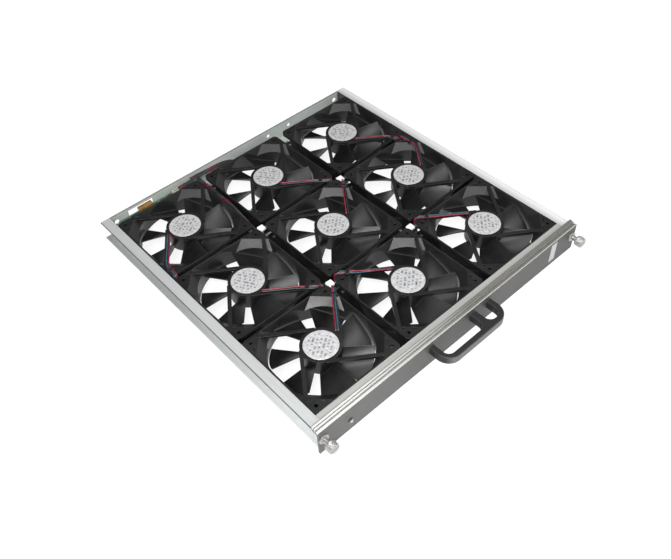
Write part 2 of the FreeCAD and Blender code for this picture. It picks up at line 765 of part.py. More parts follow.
def make_front_panel():
    """Extruded front panel: a face and a back leg under a ribbed deck, bored for the captive
    screws, the status lamp and the handle. The back leg ends between the rails."""
    body = new_body("front_panel")
    face, back = f"-{PANEL_FACE}", f"-{PANEL_BACK}"
    profile = new_sketch(body, "panel_profile", "YZ_Plane")
    steps = [("rib_width", "rib_rise"), ("groove_width", "groove_rise"), ("ridge_width", "ridge_rise"),
             ("valley_width", "valley_rise")]
    corners = [(back, "0")]
    reach = back
    for width, rise in steps:
        corners.append((reach, f"{TOP} + {rise}"))
        reach = f"{reach} - {width}"
        corners.append((reach, f"{TOP} + {rise}"))
    corners += [
        (reach, f"{TOP} + lip_rise"), (face, f"{TOP} + lip_rise"), (face, "-panel_drop"),
        (f"{face} + face_thick", "-panel_drop"), (f"{face} + face_thick", f"{TOP} - deck_thick"),
        (f"{back} - back_thick", f"{TOP} - deck_thick"), (f"{back} - back_thick", "0"),
    ]
    draw_polygon(profile, corners)
    add_pad(body, profile, f"2 * {OUTER}", both_ways=True)

    front = new_sketch(body, "face_bores", "XZ_Plane", PANEL_FACE)
    for side in (-1, 1):
        draw_circle(front, f"{side} * {CAPTIVE_X}", CAPTIVE_Z, "barrel_radius")
        draw_circle(front, f"{side} * {HANDLE_SCREW_X}", HANDLE_SCREW_Z, "handle_screw / 2")
    draw_circle(front, f"-{LAMP_X}", "lamp_height", "lamp_radius")
    add_pocket(body, front, "face_thick")
    ends = new_sketch(body, "rail_ways", "XY_Plane", f"{TOP} - deck_thick")
    for side in (-1, 1):
        draw_rectangle(ends, f"{side} * ({WEB} - wall_fit)", f"{back} - back_thick",
                       f"{side} * ({OUTER} + rail_flange)", f"{back} + back_thick")
    add_pocket(body, ends, TOP)
    rear = new_sketch(body, "back_bores", "XZ_Plane", f"{PANEL_BACK} + back_thick")
    for x in panel_screw_columns():
        draw_circle(rear, x, CAPTIVE_Z, "fan_screw_radius")
    add_pocket(body, rear, "back_thick")
    keep("front_panel", body)


def make_handle():
    """Flat pull handle: a grip on two arms and a middle leg, round at its outer corners."""
    body = new_body("pull_handle")
    half, face = "handle_width / 2", f"-{PANEL_FACE}"
    tip, grip = f"-({PANEL_FACE} + handle_reach)", f"-({PANEL_FACE} + handle_reach - grip_width)"
    inside = f"({half} - arm_width)"
    left, right = f"({inside} - small_window - leg_width)", f"({inside} - small_window)"
    windows = [(f"-{inside}", left), (right, inside)]
    outline = new_sketch(body, "handle_outline", "XY_Plane", HANDLE_TOP)
    draw_polygon(outline, [
        (f"-{half}", face), (f"-{half}", tip), (half, tip), (half, face),
        (windows[1][1], face), (windows[1][1], grip), (windows[1][0], grip), (windows[1][0], face),
        (windows[0][1], face), (windows[0][1], grip), (windows[0][0], grip), (windows[0][0], face),
    ])
    add_pad(body, outline, "handle_height", backwards=True)
    doc.recompute()
    spots = [(value(side + half), value(tip)) for side in ("-", "")]
    add_fillet(body, upright_edges(body.Shape, spots), "handle_corner")
    doc.recompute()
    spots = [(value(x), value(grip)) for window in windows for x in window]
    add_fillet(body, upright_edges(body.Shape, spots), "window_corner")
    doc.recompute()
    bores = new_sketch(body, "handle_bores", "XZ_Plane", PANEL_FACE)
    for side in (-1, 1):
        draw_circle(bores, f"{side} * {HANDLE_SCREW_X}", HANDLE_SCREW_Z, "handle_screw / 2")
    add_pocket(body, bores, "handle_screw_depth", backwards=True)
    levels = (value(HANDLE_TOP), value(f"{HANDLE_TOP} - handle_height"))
    rims = []
    for number, edge in enumerate(body.Shape.Edges, start=1):
        box = edge.BoundBox
        level = box.ZLength < 1e-6 and any(abs(box.ZMin - z) < 1e-6 for z in levels)
        if level and box.YMin < value(face) - 1e-3:
            rims.append(f"Edge{number}")
    add_fillet(body, rims, "handle_round")
    keep("pull_handle", body)


def make_captive_screws():
    """Captive thumbscrews at both ends of the panel: a ferrule pressed into the face, the
    screw that slides and turns in it, and the ring that keeps the screw."""
    facing = FreeCAD.Rotation(FreeCAD.Vector(1, 0, 0), 90)
    ring_front = "(-face_thick - barrel_end - ring_play)"
    ring_back = f"({ring_front} - ring_thick)"
    bore = "shank_radius + shank_fit"
    ferrule = turned_piece("ferrule", [
        (bore, "-face_thick - barrel_end"), ("barrel_radius", "-face_thick - barrel_end"),
        ("barrel_radius", "0"),
        ("ferrule_radius", "0"), ("ferrule_radius", "ferrule_flange / 2"),
        ("(ferrule_radius + shank_radius) / 2", "ferrule_flange"), (bore, "ferrule_flange"),
    ])
    ring_bore = "groove_radius + shank_fit"
    ring = turned_piece("retaining_ring", [
        (ring_bore, ring_back), ("ring_radius", ring_back),
        ("ring_radius", ring_front), (ring_bore, ring_front),
    ])
    knob_low = "(ferrule_flange + knob_travel)"
    knob_high = f"({knob_low} + knob_length)"
    tip = "-panel_depth - tip_reach"
    bevel = "slot_width / 2"
    screw = turned_piece("thumbscrew", [
        ("0", tip), ("thread_radius - slot_width / 2", tip), ("thread_radius", f"{tip} + slot_width / 2"),
        ("thread_radius", f"{ring_back} - ring_play"), ("groove_radius", f"{ring_back} - ring_play"),
        ("groove_radius", f"{ring_front} + ring_play"), ("shank_radius", f"{ring_front} + ring_play"),
        ("shank_radius", knob_low), (f"knob_radius - {bevel}", knob_low),
        ("knob_radius", f"{knob_low} + {bevel}"),
        ("knob_radius", f"{knob_high} - {bevel}"), (f"knob_radius - {bevel}", knob_high), ("0", knob_high),
    ])
    slot = new_sketch(screw, "driver_slot", "XY_Plane", knob_high)
    draw_rectangle(slot, "-knob_radius * 2", "-slot_width / 2", "knob_radius * 2", "slot_width / 2")
    add_pocket(screw, slot, "slot_depth")
    ferrules = []
    for name, side in (("left", -1), ("right", 1)):
        spot = (f"{side} * {CAPTIVE_X}", f"-{PANEL_FACE}", CAPTIVE_Z)
        ferrules.append(copy_of(ferrule, f"ferrule_{name}", *spot, facing))
        keep(f"{name}_retaining_ring", copy_of(ring, f"ring_{name}", *spot, facing))
        keep(f"{name}_thumbscrew", copy_of(screw, f"screw_{name}", *spot, facing))
    group("screw_ferrules", ferrules)


def make_status_lamp():
    """Round lamp in the panel's face, with a flange and a domed lens."""
    facing = FreeCAD.Rotation(FreeCAD.Vector(1, 0, 0), 90)
    lamp = turned_piece("lamp", [
        ("0", "-2 * face_thick"), ("lamp_radius", "-2 * face_thick"),
        ("lamp_radius", "0"), ("lamp_flange", "0"),
        ("lamp_flange", "lamp_radius / 4"), ("lamp_radius", "lamp_radius / 2"),
        ("lamp_radius * cos(45)", "lamp_radius * 0.9"), ("0", "lamp_radius * 1.1"),
    ])
    keep("status_lamp", copy_of(lamp, "lamp_set", f"-{LAMP_X}", f"-{PANEL_FACE}", "lamp_height", facing))


def screw_piece(name, head_radius, head_rise, shank_radius, shank_length):
    """A plain screw or rivet: its head above the seat at zero, its shank below it."""
    return turned_piece(name, [
        ("0", f"-({shank_length})"), (shank_radius, f"-({shank_length})"), (shank_radius, "0"),
        (head_radius, "0"), (head_radius, f"{head_rise} / 2"),
        (f"{head_radius} * 0.7", head_rise), ("0", head_rise),
    ])


def make_fasteners():
    """Fan screws from below, rivets through the walls' feet, and the panel's and handle's screws."""
    upward = FreeCAD.Rotation(FreeCAD.Vector(1, 0, 0), 180)
    forward = FreeCAD.Rotation(FreeCAD.Vector(1, 0, 0), -90)
    fan_screw = screw_piece("fan_screw", "fan_screw_head", "fan_screw_rise", "fan_screw_radius",
                            "sheet_thick + flange_thick")
    fan_screws = []
    for _, column, row, _, _, _, _ in FANS:
        for sx in (-1, 1):
            for sy in (-1, 1):
                x = f"{column} * {PITCH_X} + {sx} * {SCREW_OFFSET}"
                y = f"{row} * {PITCH_Y} + {sy} * {SCREW_OFFSET}"
                fan_screws.append(copy_of(fan_screw, "fan_screw_set", x, y, "0", upward))
    group("fan_screws", fan_screws)
    rivet = screw_piece("rivet", "rivet_head", "rivet_rise", "rivet_radius", FOOT_TOP)
    rivets = [copy_of(rivet, "rivet_set", x, y, FOOT_TOP) for x in rivet_columns() for y in rivet_rows()]
    group("frame_rivets", rivets)
    panel_screw = screw_piece("panel_screw", "fan_screw_head", "fan_screw_rise", "fan_screw_radius",
                              "sheet_thick + back_thick")
    seat = f"-({PANEL_BACK} - sheet_thick)"
    panel_screws = [copy_of(panel_screw, "panel_screw_set", x, seat, CAPTIVE_Z, forward)
                    for x in panel_screw_columns()]
    group("panel_screws", panel_screws)
    handle_screw = screw_piece("handle_screw", "fan_screw_head", "fan_screw_rise", "handle_screw / 2",
                               "face_thick + handle_screw_depth")
    seat = f"-({PANEL_FACE} - face_thick)"
    handle_screws = [copy_of(handle_screw, "handle_screw_set", f"{side} * {HANDLE_SCREW_X}", seat,
                             HANDLE_SCREW_Z, forward) for side in (-1, 1)]
    group("handle_screws", handle_screws)


def standoff_columns():
    """Formulas of the board's three fixing places, the last between the two headers."""
    first, last = f"(-{BOARD_LEFT} + 2 * standoff_radius)", f"(-{HEADER_X} - header_pitch / 2)"
    return first, f"({first} + {last}) / 2", last


def make_board():
    """Control board in the gap behind the fans, its standoffs, the plug that reaches into the
    wall's slot, and the headers that take the leads."""
    front = f"({BOARD_BACK} - board_width)"
    middle = f"({BOARD_BACK} - board_width / 2)"
    board = new_body("circuit_board")
    outline = new_sketch(board, "board_outline", "XY_Plane", BOARD_UNDER)
    draw_rectangle(outline, f"-{BOARD_LEFT}", front, f"-{BOARD_LEFT} + board_length", BOARD_BACK)
    for x in standoff_columns():
        draw_circle(outline, x, middle, "board_hole / 2")
    add_pad(board, outline, "board_thick")
    keep("circuit_board", board)

    peg = "board_hole / 2"
    standoff = turned_piece("standoff", [
        ("0", f"-{FOOT_TOP} + sheet_thick"), (peg, f"-{FOOT_TOP} + sheet_thick"), (peg, "0"),
        ("standoff_radius", "0"), ("standoff_radius", f"{BOARD_UNDER} - {FOOT_TOP}"),
        (peg, f"{BOARD_UNDER} - {FOOT_TOP}"), (peg, f"{BOARD_TOP} - {FOOT_TOP} + board_thick / 2"),
        ("0", f"{BOARD_TOP} - {FOOT_TOP} + board_thick / 2"),
    ])
    group("board_standoffs", [
        copy_of(standoff, "standoff_set", x, middle, FOOT_TOP) for x in standoff_columns()
    ])

    plug = new_body("backplane_plug")
    shell = new_sketch(plug, "plug_outline", "XY_Plane", BOARD_TOP)
    low, high = f"-{PLUG_X} - plug_length / 2", f"-{PLUG_X} + plug_length / 2"
    draw_rectangle(shell, low, f"{REAR} - plug_depth", high, f"{REAR} + plug_wall")
    add_pad(plug, shell, "plug_height")
    mouth = new_sketch(plug, "plug_mouth", "XZ_Plane", f"-{REAR} - plug_wall")
    draw_rectangle(mouth, f"{low} + plug_wall", f"{BOARD_TOP} + plug_wall", f"{high} - plug_wall",
                   f"{BOARD_TOP} + plug_height - plug_wall")
    add_pocket(plug, mouth, "plug_depth / 2", backwards=True)
    keep("backplane_plug", plug)

    header = new_body("lead_header")
    box = new_sketch(header, "header_outline", "XY_Plane")
    draw_rectangle(box, "-header_length / 2", "-header_width / 2", "header_length / 2", "header_width / 2")
    add_pad(header, box, "header_height")
    well = new_sketch(header, "header_well", "XY_Plane", "header_height")
    draw_rectangle(well, "-header_length / 2 + header_wall", "-header_width / 2 + header_wall",
                   "header_length / 2 - header_wall", "header_width / 2 - header_wall")
    add_pocket(header, well, "header_height / 2")
    headers = [copy_of(header, "header_set", f"-{HEADER_X} - {number} * header_pitch", middle, BOARD_TOP)
               for number in range(2)]
    group("lead_headers", headers)


def make_wire_posts():
    """Nylon posts at the four inner crossings of the gaps: a round stem on the bearer and a
    square head that keeps the leads down."""
    top = f"({TOP} - sheet_thick - post_drop)"
    half = "post_head_width / 2"
    post = new_body("wire_post")
    stem = new_sketch(post, "post_stem", "XY_Plane")
    draw_circle(stem, "0", "0", "post_radius")
    add_pad(post, stem, top)
    head = new_sketch(post, "post_head", "XY_Plane", top)
    draw_rectangle(head, f"-{half}", f"-{half}", half, half)
    add_pad(post, head, "post_head_thick", backwards=True)
    doc.recompute()
    spot = value(half)
    corners = [(sx * spot, sy * spot) for sx in (-1, 1) for sy in (-1, 1)]
    add_fillet(post, upright_edges(post.Shape, corners), "post_head_corner")
    posts = [
        copy_of(post, "post_set", f"{sx} * {PITCH_X} / 2 + post_shift",
                f"{sy} * {PITCH_Y} / 2 - post_shift", "sheet_thick")
        for sx in (-1, 1) for sy in (-1, 1)
    ]
    group("wire_posts", posts)


def tube(points, radius):
    """A round lead along straight runs joined by tangent arcs. Each arc takes 0.45 of the
    shorter run beside it."""
    edges = []
    start = points[0]
    tightest = math.inf
    for before, corner, after in zip(points, points[1:], points[2:]):
        back, ahead = before - corner, after - corner
        angle = math.pi - back.getAngle(ahead)
        cut = 0.45 * min(back.Length, ahead.Length)
        bend = cut / math.tan(angle / 2)
        tightest = min(tightest, bend)
        enter = corner + back.normalize() * cut
        leave = corner + ahead.normalize() * cut
        inward = (back + ahead).normalize()
        middle = corner + inward * (bend / math.cos(angle / 2) - bend)
        edges.append(Part.LineSegment(start, enter).toShape())
        edges.append(Part.Arc(enter, middle, leave).toShape())
        start = leave
    edges.append(Part.LineSegment(start, points[-1]).toShape())
    path = Part.Wire(edges)
    ring = Part.Wire([Part.Circle(points[0], points[1] - points[0], radius).toShape()])
    solid = path.makePipeShell([ring], True, True)
    wanted = math.pi * radius ** 2 * path.Length
    if abs(solid.Volume - wanted) > 0.02 * wanted:
        raise RuntimeError("a lead's volume is not its section times its length")
    print(f"lead of {path.Length:.0f} mm, tightest bend {tightest:.1f} mm")
    return solid


def lead_node(node, tubes):
    """Leads that share a colour or a bundle, as one feature of loose tubes."""
    feature = doc.addObject("Part::Feature", node)
    feature.Shape = Part.makeCompound(tubes)
    return keep(node, feature)


def fan_lead(column, row, quarter, other_side, leave, lane):
    """One lead of a fan, in fan coordinates turned to its corner: from the hub along a strut,
    over the corner flange and down beside the fan, to the bundle in a column gap or to the
    sheet in a row gap."""
    over = value(f"{TOP} + lead_radius + lead_rest")
    in_row = (quarter % 2 == 1) != other_side
    low = value("sheet_thick") + 0.3 if in_row else value("sheet_thick + 2 * bundle_radius") + 0.3
    shift = lane * value("lead_pitch")
    edge = value("fan_size / 2") + 3.6
    route = [(23.9 + shift * 0.8, 0.9 - shift * 0.6, over)]
    if other_side:
        route += [
            (49.6 + shift, 34.8 - shift * 0.34, over), (leave + shift, edge, over),
            (leave + 0.6 + shift, edge + 0.3, over - 8), (leave + 1.2 + shift, edge, low),
        ]
    else:
        route += [
            (49.6 + shift * 0.78, 34.8 - shift * 0.63, over), (edge, leave - shift * 1.55, over),
            (edge + 0.3, leave + 1 - shift * 1.55, over - 8), (edge, leave + 2 - shift * 1.55, low),
        ]
    turn = FreeCAD.Rotation(FreeCAD.Vector(0, 0, 1), 90 * quarter)
    spot = FreeCAD.Vector(column * value(PITCH_X), row * value(PITCH_Y), 0)
    return tube([spot + turn.multVec(FreeCAD.Vector(*point)) for point in route], value("lead_radius"))


def make_leads():
    """Three leads to each fan, and the two bundles that gather them in the column gaps."""
    colours = (("red_leads", -1), ("blue_leads", 0), ("black_leads", 1))
    for node, lane in colours:
        lead_node(node, [fan_lead(*fan[1:6], lane) for fan in FANS])

    radius = value("bundle_radius")
    floor = value("sheet_thick") + radius + 0.1
    foot = value(FOOT_TOP) + radius + 0.1
    high = value(f"{BOARD_TOP} + header_height") + radius + 0.3
    lane = value(f"{PITCH_X} / 2 + bundle_shift")
    right_lane = value(f"{PITCH_X} / 2 - bundle_shift")
    back = value(f"{WALL_INSIDE} - rear_gap / 2")
    header = value(HEADER_X)
    pitch = value("header_pitch")
    v = FreeCAD.Vector
    left = tube([
        v(-lane, -76, floor), v(-lane, 66, floor), v(-lane + 0.2, 118, high - 1), v(-lane, 172, high),
        v(-lane - 0.2, back - 2.6, high + 0.2), v(-header - pitch, back - 2.4, high),
    ], radius)
    right = tube([
        v(right_lane, -76, floor), v(right_lane, 136, floor), v(right_lane + 0.1, 168, foot + 0.2),
        v(right_lane - 0.2, back, foot + 0.4), v(36, back + 0.2, foot), v(14, back, foot + 0.2),
        v(-20, back + 1.5, high - 2), v(-header, back + 2.4, high),
    ], radius)
    lead_node("left_bundle", [left])
    lead_node("right_bundle", [right])


make_fans()
for rail_name, rail_side in (("left_rail", -1), ("right_rail", 1)):
    make_rail(rail_name, rail_side)
for bearer_name, bearer_side in (("left_bearer", -1), ("right_bearer", 1)):
    make_bearer(bearer_name, bearer_side)
make_rear_wall()
make_front_wall()
make_front_panel()
make_handle()
make_captive_screws()
make_status_lamp()
make_fasteners()
make_board()
make_wire_posts()
make_leads()
doc.recompute()

for item in doc.Objects:
    if "Invalid" in item.State or "Error" in item.State:
        raise RuntimeError(f"{item.Label} failed: {item.State}")
for node, item in nodes.items():
    if item.Shape.isNull() or not item.Shape.isValid() or not item.Shape.Solids:
        raise RuntimeError(f"{node} has no valid solid")

os.makedirs("parts", exist_ok=True)
for node, item in nodes.items():
    item.Shape.exportStep(f"parts/{node}.step")
print(f"{len(nodes)} nodes written")
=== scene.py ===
import json
import math

import bpy
import numpy as np
from mathutils import Matrix, Vector


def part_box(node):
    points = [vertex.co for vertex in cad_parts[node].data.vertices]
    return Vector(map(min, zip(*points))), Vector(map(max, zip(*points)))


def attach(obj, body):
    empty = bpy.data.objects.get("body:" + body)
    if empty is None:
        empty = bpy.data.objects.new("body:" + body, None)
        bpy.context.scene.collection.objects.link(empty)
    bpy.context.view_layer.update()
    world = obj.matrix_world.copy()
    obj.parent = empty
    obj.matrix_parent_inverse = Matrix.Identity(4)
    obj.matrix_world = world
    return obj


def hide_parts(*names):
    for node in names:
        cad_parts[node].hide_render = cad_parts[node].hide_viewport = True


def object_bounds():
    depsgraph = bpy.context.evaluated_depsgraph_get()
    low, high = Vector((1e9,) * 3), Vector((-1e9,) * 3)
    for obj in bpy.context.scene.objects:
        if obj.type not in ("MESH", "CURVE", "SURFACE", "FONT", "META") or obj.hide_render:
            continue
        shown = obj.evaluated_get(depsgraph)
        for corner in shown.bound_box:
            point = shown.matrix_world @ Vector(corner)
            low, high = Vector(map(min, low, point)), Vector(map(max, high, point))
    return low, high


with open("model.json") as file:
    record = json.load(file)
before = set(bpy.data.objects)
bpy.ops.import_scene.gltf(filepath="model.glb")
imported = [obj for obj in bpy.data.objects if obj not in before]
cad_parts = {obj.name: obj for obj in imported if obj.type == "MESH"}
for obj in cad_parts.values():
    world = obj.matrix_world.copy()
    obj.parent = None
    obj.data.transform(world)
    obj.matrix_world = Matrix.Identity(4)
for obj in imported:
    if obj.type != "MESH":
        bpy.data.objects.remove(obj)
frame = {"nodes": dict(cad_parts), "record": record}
cad_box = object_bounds()
nodes = frame["nodes"]

MM = 0.001
FAN_NAMES = [
    "front_left", "front_middle", "front_right", "middle_left", "centre", "middle_right",
    "rear_left", "rear_middle", "rear_right",
]
FANS = {name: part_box(f"fan_frame_{name}") for name in FAN_NAMES}
FAN_TOP = FANS["centre"][1].z
FLOOR_Z = cad_box[0].z


def fan_centre(name):
    """A fan's axis in X and Y, at height 0."""
    low, high = FANS[name]
    return np.array([(low.x + high.x) / 2, (low.y + high.y) / 2, 0.0])


# Camera: angles in degrees, lengths in metres

VIEW_AZIMUTH = -39.404
VIEW_ELEVATION = 48.134
VIEW_ROLL = -3.611
VIEW_DISTANCE = 0.89898
VIEW_SHIFT = (-0.002867, 0.066942)
VIEW_CENTRE_Z = 0.0266
FOCAL_PIXELS = 742.93
IMAGE_WIDTH = 671
SENSOR_WIDTH = 36.0


def add_camera():
    """Camera that looks at the middle fan's top from the photograph's side, slid sideways and
    rolled about its own axis."""
    a, e, r = (math.radians(x) for x in (VIEW_AZIMUTH, VIEW_ELEVATION, VIEW_ROLL))
    back = Vector((math.sin(a) * math.cos(e), -math.cos(a) * math.cos(e), math.sin(e)))
    level = (-back).cross(Vector((0, 0, 1))).normalized()
    rise = level.cross(-back)
    right = math.cos(r) * level + math.sin(r) * rise
    up = -math.sin(r) * level + math.cos(r) * rise
    target = Vector((0, 0, VIEW_CENTRE_Z))
    place = back * VIEW_DISTANCE - right * VIEW_SHIFT[0] - up * VIEW_SHIFT[1] + target
    data = bpy.data.cameras.new("camera")
    data.sensor_width = SENSOR_WIDTH
    data.lens = FOCAL_PIXELS / IMAGE_WIDTH * SENSOR_WIDTH
    data.clip_start, data.clip_end = 0.01, 50
    camera = bpy.data.objects.new("camera", data)
    bpy.context.scene.collection.objects.link(camera)
    camera.matrix_world = Matrix((
        (right.x, up.x, back.x, place.x),
        (right.y, up.y, back.y, place.y),
        (right.z, up.z, back.z, place.z),
        (0, 0, 0, 1),
    ))
    bpy.context.scene.camera = camera


add_camera()

# Meshes


def add_mesh(name, points, faces, smooth=True, uv=None):
    """A mesh object at the origin from an array of points and an array or list of faces."""
    mesh = bpy.data.meshes.new(name)
    mesh.from_pydata(np.asarray(points, float), [], np.asarray(faces).tolist())
    if uv is not None:
        layer = mesh.uv_layers.new(name="pattern")
        corner = np.empty(len(mesh.loops), np.int32)
        mesh.loops.foreach_get("vertex_index", corner)
        layer.data.foreach_set("uv", np.asarray(uv, np.float32)[corner].ravel())
    mesh.polygons.foreach_set("use_smooth", np.full(len(mesh.polygons), smooth))
    mesh.update()
    made = bpy.data.objects.new(name, mesh)
    bpy.context.scene.collection.objects.link(made)
    return made


def grid_faces(rows, columns, closed_columns=True):
    """Quads of a grid of points, row after row, joined round where the columns close."""
    i = np.arange(rows - 1)[:, None]
    j = np.arange(columns if closed_columns else columns - 1)[None, :]
    beside = (j + 1) % columns
    corners = (i * columns + j, i * columns + beside, (i + 1) * columns + beside, (i + 1) * columns + j)
    return np.stack(np.broadcast_arrays(*corners), -1).reshape(-1, 4)


def merged(parts):
    """One list of points and faces from several pairs of them."""
    points, faces, first = [], [], 0
    for part_points, part_faces in parts:
        points.append(part_points)
        faces.append(np.asarray(part_faces) + first)
        first += len(part_points)
    return np.concatenate(points), np.concatenate(faces)


def turned_surface(profile, segments):
    """A profile of radius and height carried round Z. Its ends lie on the axis or close a ring."""
    profile = np.asarray(profile, float)
    angle = np.arange(segments) * 2 * math.pi / segments
    points = np.stack([
        profile[:, :1] * np.cos(angle), profile[:, :1] * np.sin(angle),
        np.repeat(profile[:, 1:], segments, 1),
    ], -1)
    return points.reshape(-1, 3), grid_faces(len(profile), segments)


def spline_points(route, steps=10):
    """Points read from a NURBS spline whose control points are the route."""
    data = bpy.data.curves.new("route", "CURVE")
    data.dimensions = "3D"
    data.resolution_u = steps
    spline = data.splines.new("NURBS")
    spline.points.add(len(route) - 1)
    spline.points.foreach_set("co", np.c_[np.asarray(route, float), np.ones(len(route))].ravel())
    spline.order_u = 3
    spline.use_endpoint_u = True
    holder = bpy.data.objects.new("route", data)
    mesh = bpy.data.meshes.new_from_object(holder)
    points = np.empty(len(mesh.vertices) * 3)
    mesh.vertices.foreach_get("co", points)
    bpy.data.meshes.remove(mesh)
    bpy.data.objects.remove(holder)
    bpy.data.curves.remove(data)
    return points.reshape(-1, 3)


def path_frames(path):
    """Tangent, side and up vectors along a path: the side is square to the tangent and to a line
    that leans halfway from upright to the path's level run, so it never turns over at a drop."""
    tangent = np.gradient(path, axis=0)
    tangent /= np.linalg.norm(tangent, axis=1, keepdims=True)
    run = (path[-1] - path[0]) * [1, 1, 0]
    side = np.cross(tangent, run / np.linalg.norm(run) + [0, 0, 1])
    side /= np.linalg.norm(side, axis=1, keepdims=True)
    return tangent, side, np.cross(side, tangent)


def tube_surface(path, radius, sides=10):
    """A circle carried along a path, closed at both ends by a fan of quads to a small ring."""
    _, side, up = path_frames(path)
    angle = np.arange(sides) * 2 * math.pi / sides
    ring = side[:, None] * np.cos(angle)[None, :, None] + up[:, None] * np.sin(angle)[None, :, None]
    body = path[:, None] + radius * ring
    ends = [path[:1, None] + 0.02 * radius * ring[:1], body, path[-1:, None] + 0.02 * radius * ring[-1:]]
    points = np.concatenate(ends)
    return points.reshape(-1, 3), grid_faces(len(points), sides)[:, ::-1]


def rounded_block(low, high, round_by):
    """A box with its edges cut off: rings of eight points round Z, stepped in by the rounding at
    the floor and the top, and closed by a point in the middle of each."""
    (x0, y0, z0), (x1, y1, z1) = low, high
    step = np.array([round_by, 0, 0, round_by])
    level = np.array([z0, z0 + round_by, z1 - round_by, z1])
    west, east, south, north, r = x0 + step, x1 - step, y0 + step, y1 - step, round_by
    across = np.stack([west + r, east - r, east, east, east - r, west + r, west, west], 1)
    along = np.stack([south, south, south + r, north - r, north, north, north - r, south + r], 1)
    rings = np.stack([across, along, np.repeat(level[:, None], 8, 1)], -1)
    middle = np.array([(x0 + x1) / 2, (y0 + y1) / 2, 0])
    caps = [np.tile(middle + [0, 0, z], (1, 8, 1)) for z in (z0, z1)]
    points = np.concatenate([caps[0], rings, caps[1]])
    return points.reshape(-1, 3), grid_faces(6, 8)


def turned_flat(points, angle, place):
    """Points turned about Z by an angle and carried to a place."""
    c, s = math.cos(angle), math.sin(angle)
    return points @ np.array([[c, s, 0], [-s, c, 0], [0, 0, 1]]) + place


# Shared shader groups


def new_group(name, inputs, outputs):
    """An empty shader group with named inputs and outputs."""
    tree = bpy.data.node_groups.new(name, "ShaderNodeTree")
    for label, kind, start in inputs:
        socket = tree.interface.new_socket(label, in_out="INPUT", socket_type=f"NodeSocket{kind}")
        if start is not None:
            socket.default_value = start
    for label, kind in outputs:
        tree.interface.new_socket(label, in_out="OUTPUT", socket_type=f"NodeSocket{kind}")
    enter = tree.nodes.new("NodeGroupInput")
    leave = tree.nodes.new("NodeGroupOutput")
    return tree, enter, leave


def math_node(tree, operation, first, second=None, clamp=False):
    """One operation on numbers or on other nodes' values."""
    node = tree.nodes.new("ShaderNodeMath")
    node.operation = operation
    node.use_clamp = clamp
    for socket, source in zip(node.inputs, (first, second)):
        if source is None:
            continue
        if isinstance(source, (int, float)):
            socket.default_value = source
        else:
            tree.links.new(source, socket)
    return node.outputs[0]


def noise_node(tree, vector, scale, detail=3.0, roughness=0.55):
    """A noise over a vector, whose scale is a number or another node's value."""
    node = tree.nodes.new("ShaderNodeTexNoise")
    node.inputs["Detail"].default_value = detail
    node.inputs["Roughness"].default_value = roughness
    tree.links.new(vector, node.inputs["Vector"])
    if isinstance(scale, (int, float)):
        node.inputs["Scale"].default_value = scale
    else:
        tree.links.new(scale, node.inputs["Scale"])
    return node.outputs["Fac"]


def build_grain():
    """Moulded or coated skin: a slow drift of tone, and a fine height from quick noise."""
    tree, enter, leave = new_group(
        "skin_grain", [("Vector", "Vector", None), ("Drift", "Float", 30.0), ("Fine", "Float", 1800.0)],
        [("Tone", "Float"), ("Height", "Float")])
    place = enter.outputs["Vector"]
    tree.links.new(noise_node(tree, place, enter.outputs["Drift"]), leave.inputs["Tone"])
    tree.links.new(noise_node(tree, place, enter.outputs["Fine"], 2.0), leave.inputs["Height"])
    return tree


def build_brush():
    """Drawn metal: noise stretched along one axis, so that it shows as fine lines."""
    tree, enter, leave = new_group(
        "drawn_lines", [("Vector", "Vector", None), ("Stretch", "Vector", (20.0, 2500.0, 2500.0))],
        [("Line", "Float"), ("Cloud", "Float")])
    scaled = tree.nodes.new("ShaderNodeVectorMath")
    scaled.operation = "MULTIPLY"
    tree.links.new(enter.outputs["Vector"], scaled.inputs[0])
    tree.links.new(enter.outputs["Stretch"], scaled.inputs[1])
    tree.links.new(noise_node(tree, scaled.outputs[0], 1.0, 3.0), leave.inputs["Line"])
    tree.links.new(noise_node(tree, enter.outputs["Vector"], 22.0, 4.0), leave.inputs["Cloud"])
    return tree


def build_edges():
    """Corners of a piece: how far the normal, rounded over a small radius, leans from the true one."""
    tree, enter, leave = new_group(
        "corner_rub_and_glint", [("Spread", "Float", 4.0)], [("Edge", "Float"), ("Normal", "Vector")])
    bevel = tree.nodes.new("ShaderNodeBevel")
    bevel.samples = 4
    bevel.inputs["Radius"].default_value = 0.0006
    geometry = tree.nodes.new("ShaderNodeNewGeometry")
    lean = tree.nodes.new("ShaderNodeVectorMath")
    lean.operation = "DOT_PRODUCT"
    tree.links.new(bevel.outputs["Normal"], lean.inputs[0])
    tree.links.new(geometry.outputs["Normal"], lean.inputs[1])
    rest = math_node(tree, "SUBTRACT", 1.0, lean.outputs["Value"], True)
    tree.links.new(math_node(tree, "MULTIPLY", rest, enter.outputs["Spread"], True), leave.inputs["Edge"])
    tree.links.new(bevel.outputs["Normal"], leave.inputs["Normal"])
    return tree


GRAIN = build_grain()
BRUSH = build_brush()
EDGES = build_edges()


# Materials


